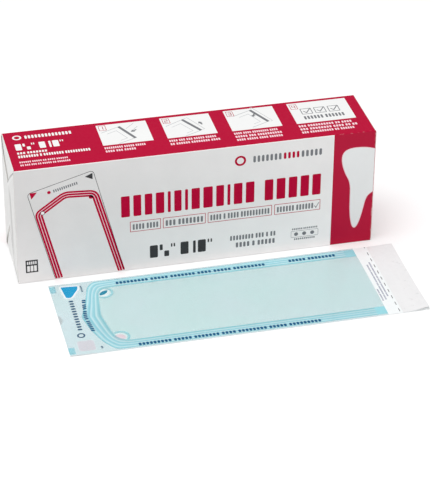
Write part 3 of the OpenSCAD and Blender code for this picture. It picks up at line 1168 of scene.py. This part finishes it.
def size_line(ink, x0, x1, y0, y1):
    """The pouch's size as plain blocks: a wide one, a stepped pair, ticks, a cross-size block, two more and ticks."""
    k = (x1 - x0) / 46.8
    h = y1 - y0

    def r(a, b, c, d, rad):
        ink.rect(x0 + a * k, y0 + c * h, x0 + b * k, y0 + d * h, rad * min(k, h / 10))

    r(0.0, 6.0, 0.0, 1.0, 0.9)
    r(7.4, 9.6, 0.0, 0.46, 0.5)
    r(10.8, 14.4, 0.54, 1.0, 0.6)
    r(15.8, 16.9, 0.0, 0.28, 0.35)
    r(17.8, 18.9, 0.0, 0.28, 0.35)
    r(23.0, 29.0, 0.0, 1.0, 0.9)
    r(32.4, 34.4, 0.0, 1.0, 0.6)
    r(36.0, 42.0, 0.0, 1.0, 0.9)
    r(43.4, 44.5, 0.0, 0.28, 0.35)
    r(45.6, 46.7, 0.0, 0.28, 0.35)


def top_print():
    white = Print("top_print_white", "carton", "ink_white", M_WHITE, on_top)
    pale = Print("top_print_pale", "carton", "ink_white", M_PALE, on_top)
    ink = Print("top_print_grey", "carton", "ink_grey", M_MIDGREY, on_top, h=0.055)
    light = Print("top_print_lightgrey", "carton", "ink_grey", M_LGREY, on_top, h=0.045)
    red = Print("top_print_red", "carton", "ink_red", M_RED, on_top, h=0.06)
    white.ring(10.4, 9.2, 3.3, 1.25)
    white.blocks(16.0, 50.0, 7.2, 11.8, [14], gap=0.26, r=0.3)
    size_line(white, 7.2, 42.4, 18.6, 27.6)
    white.blocks(7.2, 28.6, 30.6, 33.4, [3, 7], gap=0.24)
    white.blocks(7.2, 59.0, 35.2, 38.8, [8, 1, 8, 10], gap=0.24)
    pale.blocks(6.8, 41.4, 43.8, 46.0, [6, 5, 2, 4, 6], gap=0.26)
    pale.blocks(6.8, 42.4, 48.0, 50.4, [2, 3, 3, 2, 5, 2, 7], gap=0.26)
    boxes = ((69.0, 106.0, 4.4), (116.4, 153.4, 4.0), (164.4, 202.0, 3.6), (213.0, 258.0, 3.4))
    digits = {1: "cf", 2: "acdeg", 3: "acdfg", 4: "bcdf"}
    for k, (x0, x1, y0) in enumerate(boxes):
        white.rect(x0, y0, x1, 34.4, 0.3)
        # step number in a small frame
        red.frame(x0 + 1.4, 5.2, x0 + 6.8, 12.6, 0.4)
        cx, cy, w, h = x0 + 4.1, 8.9, 1.0, 1.9
        seg = {
            "a": [(-w, -h), (w, -h)], "b": [(-w, -h), (-w, 0)], "c": [(w, -h), (w, 0)],
            "d": [(-w, 0), (w, 0)], "e": [(-w, 0), (-w, h)], "f": [(w, 0), (w, h)], "g": [(-w, h), (w, h)],
        }
        for s in digits[k + 1]:
            (ax, ay), (bx, by) = seg[s]
            off = -0.6 if k == 0 else 0.0
            dx, dy = (0.25, 0.0) if ay == by else (0.0, 0.25)
            red.stroke([(cx + ax - dx + off, cy + ay - dy), (cx + bx + dx + off, cy + by + dy)], 0.5)
        if k < 3:
            # the flap end of a pouch, drawn in grey lines
            a = ((84.0, 9.6), (131.4, 9.6), (183.4, 6.6))[k]
            b = ((93.0, 28.8), (141.6, 28.4), (192.6, 26.4))[k]
            d = Vector((b[0] - a[0], b[1] - a[1]))
            L = d.length
            d.normalize()
            nrm = Vector((d.y, -d.x))

            def q(s, t, a=a, d=d, nrm=nrm):
                return (a[0] + d.x * s + nrm.x * t, a[1] + d.y * s + nrm.y * t)

            def lim(p, x0=x0, x1=x1, y0=y0):
                return (max(x0 + 0.6, min(x1 - 0.6, p[0])), max(y0 + 0.6, min(33.8, p[1])))

            ink.poly([q(0, 0), q(L, 0), q(L, 2.2), q(0, 2.2)])
            light.stroke([lim(q(0.2, -14.5)), q(0.2, -0.2)], 0.7)
            light.stroke([lim(q(L - 0.2, -0.2)), lim(q(L - 0.2, -13.5))], 0.7)
            light.stroke([lim(q(4.0, -12.0)), q(4.0, -3.6), q(L - 3.6, -3.6), lim(q(L - 3.6, -9.5))], 0.5)
            if k == 2:
                light.stroke([q(-2.4, 2.6), q(-2.4, 4.4), q(L + 0.6, 4.4), q(L + 0.6, 2.6)], 0.5)
            elif k == 1:
                light.stroke([q(0.2, 2.6), q(0.2, 5.8), q(L - 0.2, 4.6), q(L - 0.2, 2.6)], 0.5)
            else:
                light.stroke([q(6.0, 3.6), q(2.4, 13.0)], 0.5)
                light.stroke([q(11.6, 3.6), q(8.0, 12.4)], 0.5)
            # arrow
            at = q(*((L * 0.55, 6.4), (L * 0.60, 8.0), (L * 0.36, -1.6))[k])
            ang = math.radians((150, 250, 115)[k])
            ca, sa = math.cos(ang), math.sin(ang)

            def r(px, py, at=at, ca=ca, sa=sa):
                return (at[0] + px * ca - py * sa, at[1] + px * sa + py * ca)

            ink.poly([r(2.6, 0), r(0.1, 1.8), r(0.1, 0.6), r(-2.4, 0.6), r(-2.4, -0.6), r(0.1, -0.6), r(0.1, -1.8)])
        else:
            for j in range(3):
                bx = x0 + 7.6 + 10.4 * j
                ink.frame(bx, 12.8, bx + 8.4, 21.4, 0.6, 0.5)
                ink.stroke([(bx + 2.0, 16.6), (bx + 3.9, 19.2), (bx + 7.6, 13.6)], 0.8)
            ink.blocks(x0 + 7.6, x0 + 38.0, 24.2, 29.2, [6, 6], gap=0.26, letter=0.42)
    rows = (
        ((99.0, [9, 5, 5]), (91.0, [4, 3, 5])),
        ((151.0, [4, 3, 3, 5, 5]), (153.0, [2, 6, 8, 4])),
        ((197.0, [4, 4, 8, 4]), (199.0, [5, 3, 10]), (198.4, [4, 5, 4, 6])),
        ((253.0, [3, 10, 2, 4]), (256.0, [3, 8, 4, 2, 2]), (252.4, [3, 10, 2, 6])),
    )
    for (x0, x1, y0), lines in zip(boxes, rows):
        for j, (xe, words) in enumerate(lines):
            y = 36.9 + 4.7 * j
            pale.blocks(x0 + 0.2, xe, y, y + 2.9, words, gap=0.22)
    for p in (white, pale, ink, light, red):
        p.build()


wall_print("front", on_front)
wall_print("back", on_back)
top_print()

# ---------------------------------------------------------------- the loose pouch
P_OUT = round_path([(240, 1.5), (32.0, 1.5), (27.0, 7.0), (22.6, 25.0), (16.2, 44.5), (19.8, 62.0), (25.6, 78.0), (33.0, 88.5), (240, 88.5)],
                   [0, 3, 4, 4, 3, 4, 5, 4, 0], 4)
P_IN = round_path([(240, 11.0), (45.0, 11.0), (37.0, 11.8), (33.6, 18.0), (32.6, 26.0), (30.6, 45.0), (34.2, 68.0), (36.4, 75.0), (43.0, 79.0), (240, 79.0)],
                  [0, 4, 5, 4, 4, 3, 4, 5, 5, 0], 4)
EYES = ((37.5, 17.5), (38.2, 74.4))
STEAM_OUT = round_path([(8.3, 3.6), (20.6, 4.4), (19.8, 8.6), (13.6, 18.2), (10.0, 18.0)], [0.8, 1.0, 1.2, 2.4, 1.8], 5, True)
GAS_OUT = rrect(7.4, 73.4, 19.2, 86.0, 2.2, 6)


def seg_dist(px, py, a, b):
    ax, ay = a
    dx, dy = b[0] - ax, b[1] - ay
    t = clamp(((px - ax) * dx + (py - ay) * dy) / (dx * dx + dy * dy + 1e-12))
    return math.hypot(px - ax - t * dx, py - ay - t * dy)


def signed(px, py, poly):
    """Distance to an open U of points that runs off past the mouth: positive inside."""
    d = min(seg_dist(px, py, poly[i], poly[i + 1]) for i in range(len(poly) - 1))
    inside = False
    n = len(poly)
    for i in range(n):
        (x1, y1), (x2, y2) = poly[i], poly[(i + 1) % n]
        if (y1 > py) != (y2 > py) and px < (x2 - x1) * (py - y1) / (y2 - y1) + x1:
            inside = not inside
    return d if inside else -d


def lift(u, v):
    """How far the sheet's underside stands off the surface it lies on."""
    flat = 1 - gauss(u - FOLD, 5.0)
    a = 0.015 + 0.025 * flat
    a += 0.55 * gauss(u, 17) * gauss(v - PW, 15)
    a += 0.35 * gauss(u, 15) * gauss(v, 13)
    a += 0.05 * flat * (1 + math.sin(u * 0.043 + 0.6) * math.cos(v * 0.05))
    k = sstep(FOLD - 4, PL, u)
    a += 0.34 * k * k + 0.9 * sstep(FOLD + 4, PL, u) * gauss(v - PW, 26)
    return a


def on_sheet(u, v, h):
    return Vector((PX + u, PY - v, lift(u, v) + h)) * MM


def dome(u, v, din):
    """Height of the film above the paper: flat at the seal, slightly full over the pocket, a little open at the mouth."""
    if din <= 0:
        return 0.0
    full = 1.25 * (1 - math.exp(-din / 9.0))
    wav = 1 + 0.16 * math.sin(u * 0.052 + 1.1) * math.sin(v * 0.07 + 0.4) + 0.07 * math.sin(u * 0.13 + v * 0.09)
    mouth = 1.0 - 0.45 * sstep(FILM_L - 60, FILM_L, u)
    start = sstep(26, 60, u)
    return full * wav * mouth * (0.55 + 0.45 * start)


NOTCH_R, NOTCH_C = 9.0, -6.5


def notch(v):
    """Where the paper starts at the closed end: a round thumb notch."""
    d = abs(v - PW / 2)
    return max(0.0, NOTCH_C + math.sqrt(NOTCH_R * NOTCH_R - d * d)) if d < NOTCH_R else 0.0


def paper_piece():
    us = spaced([0.0, 8.0], 1.0) + spaced([8.0, FOLD - 3.0], 3.0)[1:] + spaced([FOLD - 3.0, FOLD + 3.0], 0.3)[1:] + spaced([FOLD + 3.0, PL], 1.7)[1:]
    vs = spaced([0.0, PW / 2 - 8.0], 3.0) + spaced([PW / 2 - 8.0, PW / 2 + 8.0], 0.8)[1:] + spaced([PW / 2 + 8.0, PW], 3.0)[1:]

    def fn(i, j, side):
        u, v = us[i], vs[j]
        e = notch(v)
        if e > 0 and u < 8:
            u = e + (8 - e) * (u / 8)
        z = lift(u, v) + (PT if side == 0 else 0.0)
        return (PX + u, PY - v, z)

    o = grid_slab("pouch_paper_web", len(us), len(vs), fn, [M_PAPER], None, "medical_paper", (0, 0, 0))
    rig.replaces(o, "pouch_paper", "pouch_flap")
    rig.blend(o, "pouch", "pouch_flap", Vector((PX + FOLD - 0.7, PY - PW / 2, 0)) * MM, Vector((PX + FOLD + 0.7, PY - PW / 2, 0)) * MM)
    return o


paper_piece()


def film_mat():
    """Blue-tinted clear film. Distances to the seal's two edges come as attributes; the channels are drawn from their ratio."""
    m, nt, b = new_mat("tinted_film")
    v = coords(nt)
    x, y, z = sep(nt, v)
    a_out = mk(nt, "ShaderNodeAttribute", _attribute_name="d_out").outputs["Fac"]
    a_in = mk(nt, "ShaderNodeAttribute", _attribute_name="d_in").outputs["Fac"]
    u = mk(nt, "ShaderNodeAttribute", _attribute_name="u_mm").outputs["Fac"]
    vv = mk(nt, "ShaderNodeAttribute", _attribute_name="v_mm").outputs["Fac"]
    s = math_node(nt, "DIVIDE", a_out, math_node(nt, "MAXIMUM", math_node(nt, "SUBTRACT", a_out, a_in), 0.2), clamp_=True)
    ramp = mk(nt, "ShaderNodeValToRGB")
    put(nt, ramp, "Fac", s)
    stops = [
        (0.00, (140, 214, 226)), (0.09, (160, 226, 236)), (0.17, (216, 248, 252)), (0.25, (170, 230, 240)), (0.37, (140, 214, 228)),
        (0.45, (214, 247, 252)), (0.53, (172, 230, 240)), (0.64, (146, 216, 228)), (0.72, (216, 247, 250)), (0.80, (172, 226, 234)),
        (0.90, (134, 208, 218)), (0.97, (172, 224, 230)), (1.0, (216, 240, 244)),
    ]
    cr = ramp.color_ramp
    while len(cr.elements) < len(stops):
        cr.elements.new(0.5)
    for el, (p, c) in zip(cr.elements, stops):
        el.position = p
        el.color = lin(*c)
    # painted light: the seal is painted up to 13% lighter towards the far edge beside the carton, where the carton's
    # shade falls
    seal = scale_rgb(nt, ramp.outputs["Color"], maprange(nt, vv, 0.0, 60.0, 1.13, 1.02))
    # solid block of seal where the bands meet the mouth
    block = maprange(nt, u, FILM_L - 8.5, FILM_L - 7.0, 0.0, 1.0, True)
    seal = mixc(nt, block, seal, lin(166, 238, 248))
    cloud = noise(nt, v, 22, 3, 0.5)
    tint = mixc(nt, maprange(nt, cloud, 0.35, 0.65, 0.0, 1.0), lin(140, 210, 208), lin(154, 208, 212))
    margin = mixc(nt, maprange(nt, cloud, 0.35, 0.65, 0.0, 1.0), lin(164, 214, 218), lin(176, 214, 224))
    in_band = math_node(
        nt, "MULTIPLY", maprange(nt, a_out, -0.25, 0.25, 0.0, 1.0), maprange(nt, a_in, -0.25, 0.25, 1.0, 0.0)
    )
    in_pocket = maprange(nt, a_in, -0.25, 0.25, 0.0, 1.0)
    col = mixc(nt, in_pocket, margin, tint)
    col = mixc(nt, in_band, col, seal)
    alpha = math_node(nt, "ADD", 0.17, math_node(nt, "MULTIPLY", in_band, 0.30))
    # a ring of seal round each inner indicator, fullest on the side away from the closed end
    for cx, cy in EYES:
        du = math_node(nt, "SUBTRACT", u, cx)
        dv = math_node(nt, "SUBTRACT", vv, cy)
        d = math_node(nt, "SQRT", math_node(nt, "ADD", math_node(nt, "POWER", du, 2.0), math_node(nt, "POWER", dv, 2.0)))
        sgn = 1.0 if cy < 45 else -1.0
        away = math_node(nt, "DIVIDE", math_node(nt, "ADD", du, math_node(nt, "MULTIPLY", dv, 0.6 * sgn)), math_node(nt, "MAXIMUM", d, 0.5))
        full = maprange(nt, away, -0.7, 0.5, 0.35, 1.0, True)
        ring = math_node(nt, "MULTIPLY", maprange(nt, d, 4.6, 5.8, 0.0, 1.0, True), maprange(nt, d, 6.5, 7.4, 1.0, 0.0, True))
        ring = math_node(nt, "MULTIPLY", math_node(nt, "MULTIPLY", ring, in_pocket), full)
        rim = math_node(nt, "MULTIPLY", ring, maprange(nt, d, 5.9, 6.6, 0.0, 0.8, True))
        col = mixc(nt, ring, col, lin(158, 226, 234))
        col = mixc(nt, rim, col, lin(126, 206, 216))
        alpha = math_node(nt, "ADD", alpha, math_node(nt, "MULTIPLY", ring, 0.24), clamp_=True)
    # the film lies thin and clear where an indicator's ink stands under it
    halo = mk(nt, "ShaderNodeAttribute", _attribute_name="halo").outputs["Fac"]
    alpha = math_node(nt, "SUBTRACT", alpha, math_node(nt, "MULTIPLY", halo, 0.14), clamp_=True)
    # over the thumb notch there is no paper behind the film; the film there is painted grey and made less clear, as
    # painted shade under the notch
    bare = mk(nt, "ShaderNodeAttribute", _attribute_name="bare").outputs["Fac"]
    col = mixc(nt, bare, col, lin(168, 186, 190))
    alpha = math_node(nt, "ADD", alpha, math_node(nt, "MULTIPLY", bare, 0.16), clamp_=True)
    # corner squares at the closed end
    for v0, v1 in ((2.0, 10.0), (80.5, 88.5)):
        sq = math_node(
            nt, "MULTIPLY", maprange(nt, u, 4.2, 4.5, 1.0, 0.0),
            math_node(nt, "MULTIPLY", maprange(nt, vv, v0 - 0.2, v0 + 0.1, 0.0, 1.0), maprange(nt, vv, v1 - 0.1, v1 + 0.2, 1.0, 0.0)),
        )
        col = mixc(nt, sq, col, lin(130, 216, 230))
        alpha = math_node(nt, "ADD", alpha, math_node(nt, "MULTIPLY", sq, 0.17), clamp_=True)
    put(nt, b, "Base Color", col)
    put(nt, b, "Alpha", alpha)
    fine = noise(nt, v, 130, 4, 0.55, (0.6, 1.0, 1.0))
    put(nt, b, "Roughness", maprange(nt, fine, 0.3, 0.7, 0.10, 0.2))
    b.inputs["Coat Weight"].default_value = 0.2
    b.inputs["Coat Roughness"].default_value = 0.06
    b.inputs["Specular IOR Level"].default_value = 0.3
    emboss = mk(nt, "ShaderNodeMath", _operation="SINE")
    put(nt, emboss, 0, math_node(nt, "MULTIPLY", s, 22.0))
    eh = math_node(nt, "MULTIPLY", emboss.outputs[0], in_band)
    n1 = bump(nt, eh, 0.5, 0.0001)
    n2 = bump(nt, noise(nt, v, 34, 3, 0.5, (0.5, 1.0, 1.0)), 0.16, 0.0014, n1)
    put(nt, b, "Normal", n2)
    return m


M_FILM = film_mat()


def film_piece():
    us = spaced([0.0, 48.0], 0.8) + spaced([48.0, FILM_L - 12], 2.0)[1:] + spaced([FILM_L - 12, FILM_L], 1.0)[1:]
    vs = spaced([0.0, 14.0], 0.7) + spaced([14.0, PW - 14.0], 1.2)[1:] + spaced([PW - 14.0, PW], 0.7)[1:]
    cache = {}

    def fields(u, v):
        k = (round(u, 3), round(v, 3))
        if k not in cache:
            cache[k] = (signed(u, v, P_OUT), signed(u, v, P_IN))
        return cache[k]

    def halo(u, v):
        if u > 50:
            return 0.0
        out = 0.0
        for poly, reach, full in ((STEAM_OUT, 1.9, 1.0), (GAS_OUT, 0.6, 0.3)):
            d = signed(u, v, poly + poly[:1])
            out = max(out, full * (1 - sstep(reach * 0.5, reach, -d)))
        for (cx, cy), r in zip(EYES, (4.6, 4.8)):
            d = math.hypot(u - cx, v - cy)
            out = max(out, 0.8 * (1 - sstep(r - 0.9, r + 0.7, d)))
        return out

    pts = {}

    def fn(i, j, side):
        u, v = us[i], vs[j]
        do, di = fields(u, v)
        h = PT + 0.03 + dome(u, v, di)
        if side == 0:
            h += 0.075
            bare = 1 - sstep(-0.5, 0.4, math.hypot(u - NOTCH_C, v - PW / 2) - NOTCH_R)
            pts[(i, j)] = (u, v, do, di, halo(u, v), bare)
        return (PX + u, PY - v, lift(u, v) + h)

    o = grid_slab("pouch_film_web", len(us), len(vs), fn, [M_FILM], "pouch", "film", (0, 0, 0))
    me = o.data
    n = len(us) * len(vs)
    vals = [pts[(i, j)] for i in range(len(us)) for j in range(len(vs))]
    vals = vals + vals
    for k, name in enumerate(("u_mm", "v_mm", "d_out", "d_in", "halo", "bare")):
        at = me.attributes.new(name, "FLOAT", "POINT")
        at.data.foreach_set("value", [w[k] for w in vals])
    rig.replaces(o, "pouch_film")
    return o


film_piece()


# indicator inks lie on the paper, under the film
def ink_piece(name, node, slot, mat, pts, h=0.02):
    p = Print(name, "pouch", slot, mat, lambda u, v, hh: on_sheet(u, v, PT + hh), h=h, depth=0.02, step=3.0)
    p.poly(pts)
    o = p.build()
    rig.replaces(o, node)
    return o


M_IBLUE = ink_mat("indicator_blue", lin(0, 158, 210), (0.3, 0.45), 0.07, 0.0, 0.05)
M_IBLUE2 = ink_mat("indicator_blue_dark", lin(0, 132, 166), (0.3, 0.45), 0.09, 0.0, 0.05)
M_IPINK = ink_mat("indicator_pink", lin(236, 212, 220), (0.35, 0.5), 0.05)
M_IPINK2 = ink_mat("indicator_pink_pale", lin(243, 227, 233), (0.35, 0.5), 0.05)


def leaf(cx, cy, a, b, ang, n=28):
    out = []
    for i in range(n):
        t = 2 * math.pi * i / n
        x, y = a * math.cos(t), b * math.sin(t) * (1 - 0.25 * math.cos(t) ** 2)
        out.append((cx + x * math.cos(ang) - y * math.sin(ang), cy + x * math.sin(ang) + y * math.cos(ang)))
    return out


ink_piece("steam_spot_inside", "steam_indicator_inside", "ink_blue", M_IBLUE2, leaf(37.3, 17.0, 4.1, 1.9, math.radians(-38)))
ink_piece("steam_patch_outside", "steam_indicator_outside", "ink_blue", M_IBLUE, STEAM_OUT)
ink_piece("gas_spot_inside", "gas_indicator_inside", "ink_pink", M_IPINK, leaf(38.2, 74.4, 4.3, 3.5, math.radians(20)))
ink_piece("gas_patch_outside", "gas_indicator_outside", "ink_pink", M_IPINK2, GAS_OUT)


def pouch_print():
    def on_film(u, v, h):
        di = signed(u, v, P_IN)
        return on_sheet(u, v, PT + 0.03 + 0.075 + dome(u, v, di) + h)

    navy = Print("pouch_print_navy", "pouch", "ink_grey", M_NAVY, on_film, h=0.02, depth=0.03, step=5.0)
    navy.blocks(48.5, 160.0, 5.0, 8.2, [9, 5, 7, 4, 5, 9], gap=0.2, r=0.25)
    navy.blocks(178.5, 214.0, 4.4, 7.8, [5, 8], gap=0.2, r=0.25)
    navy.blocks(49.0, 180.5, 84.4, 87.6, [9, 5, 7, 4, 8, 5, 9], gap=0.2, r=0.25)

    def column(x0, slope, bend):
        def f(p):
            # type that runs up the closed end: p x becomes v, p y becomes u
            return (x0 - p[1] + slope * abs(p[0] - 44.5) + 0.0 * bend, p[0])
        return f

    slate = Print("pouch_print_column", "pouch", "ink_grey", ink_mat("ink_column", lin(60, 92, 120)), on_film, h=0.02, depth=0.03, step=5.0)
    slate.blocks(22.0, 60.0, 0.0, 3.4, [12], gap=0.32, letter=0.4, r=0.4, rot=column(14.2, 0.0, 0))
    slate.ring(11.9, 66.6, 2.9, 1.1)
    navy.blocks(23.0, 63.0, 0.0, 3.0, [2, 3, 5, 6], gap=0.22, r=0.25, rot=column(20.6, 0.12, 0))
    slate.blocks(4.5, 12.5, 0.0, 1.3, [5], gap=0.3, r=0.25, rot=column(23.4, 0.0, 0))
    slate.blocks(82.4, 85.2, 0.0, 1.5, [2], gap=0.3, r=0.25, rot=column(24.2, 0.0, 0))
    navy.build()
    slate.build()

    def on_paper(u, v, h):
        return on_sheet(u, v, PT + h)

    tiny = Print("pouch_print_notes", "pouch", "ink_grey", M_SLATE, on_paper, h=0.02, depth=0.02, step=5.0)
    for u0, a, b, words in ((231.2, 57, 72, [4, 6]), (233.6, 24, 71, [7, 4, 6, 3, 8, 5]), (236.0, 21, 67, [6, 8, 3, 5, 9, 4])):
        tiny.blocks(a, b, 0.0, 1.25, words, gap=0.3, r=0.25, rot=lambda p, u0=u0: (u0 + 0.6 - p[1], p[0]))
    tiny.build()
    dash = Print("pouch_perforation", "pouch", "ink_grey", M_DARK, on_paper, h=0.02, depth=0.02, step=2.0)
    for k in range(11):
        v0 = 0.0 if k == 0 else 1.2 + 8.45 * k - 2.0
        v1 = 1.6 if k == 0 else v0 + 3.9
        dash.rect(FOLD - 1.15, v0, FOLD - 0.65, min(v1, PW - 0.3))
    dash.build()


pouch_print()


def strip_piece(name, node, mat, slot, body, u0, u1, v0, v1, h0, h1, extra=None):
    us, vs = spaced([u0, u1], 1.2), spaced([v0, v1], 2.5)

    def fn(i, j, side):
        u, v = us[i], vs[j]
        z = lift(u, v) + (h1 if side == 0 else h0)
        if extra:
            z += extra(u, v)
        return (PX + u, PY - v, z)

    o = grid_slab(name, len(us), len(vs), fn, [mat], body, slot, (0, 0, 0))
    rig.replaces(o, node)
    return o


ad_lo, ad_hi = box_mm("adhesive_strip")
ln_lo, ln_hi = box_mm("release_liner")
strip_piece("adhesive_film", "adhesive_strip", M_ADH, "adhesive", "pouch_flap",
            ad_lo[0] - PX, ad_hi[0] - PX, PY - ad_hi[1], PY - ad_lo[1], PT - 0.01, PT + 0.05)


def liner_curl(u, v):
    return 0.75 * gauss(u - PL, 7) * gauss(v - PW, 16)


strip_piece("liner_strip", "release_liner", M_LINER, "liner", "release_liner",
            ln_lo[0] - PX, PL - 0.15, 0.25, PW - 0.25, PT + 0.06, PT + 0.15, liner_curl)

# ---------------------------------------------------------------- floor, light
fm, nt, fb = new_mat("floor")
fb.inputs["Base Color"].default_value = (0.93, 0.93, 0.93, 1)
fb.inputs["Roughness"].default_value = 0.75
fb.inputs["Specular IOR Level"].default_value = 0.1
fb.inputs["Emission Color"].default_value = (1, 1, 1, 1)
fb.inputs["Emission Strength"].default_value = 0.11
bm = bmesh.new()
S = 6.0
for x, y in ((-S, -S), (S, -S), (S, S), (-S, S)):
    bm.verts.new((x, y, -0.0002))
bm.verts.ensure_lookup_table()
bm.faces.new(bm.verts)
floor = finish_bm(bm, "floor", [fm], None, None)
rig.stage(floor)

world = bpy.data.worlds.new("world")
bpy.context.scene.world = world
world.use_nodes = True
bg = world.node_tree.nodes["Background"]
bg.inputs["Color"].default_value = (1.0, 1.0, 1.0, 1)
bg.inputs["Strength"].default_value = 0.60


def area_light(name, loc, target, size, power, colour=(1, 1, 1)):
    d = bpy.data.lights.new(name, "AREA")
    d.shape = "RECTANGLE"
    d.size, d.size_y = size
    d.energy = power
    d.color = colour
    o = bpy.data.objects.new(name, d)
    bpy.context.scene.collection.objects.link(o)
    o.location = loc
    o.rotation_mode = "QUATERNION"
    o.rotation_quaternion = (Vector(target) - Vector(loc)).to_track_quat("-Z", "Y")
    return o


area_light("key", (-0.42, -0.30, 2.08), (0, -0.03, 0.0), (1.5, 1.5), 25.0)
area_light("fill", (0.6, -1.7, 1.0), (0, -0.03, 0.05), (1.6, 1.0), 2.0)

VIS_LO, VIS_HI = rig.bounds()
with open("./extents.json", "w") as fh:
    json.dump({
        "cad": [list(map(float, CAD_LO)), list(map(float, CAD_HI))],
        "visual": [list(map(float, VIS_LO)), list(map(float, VIS_HI))],
    }, fh)
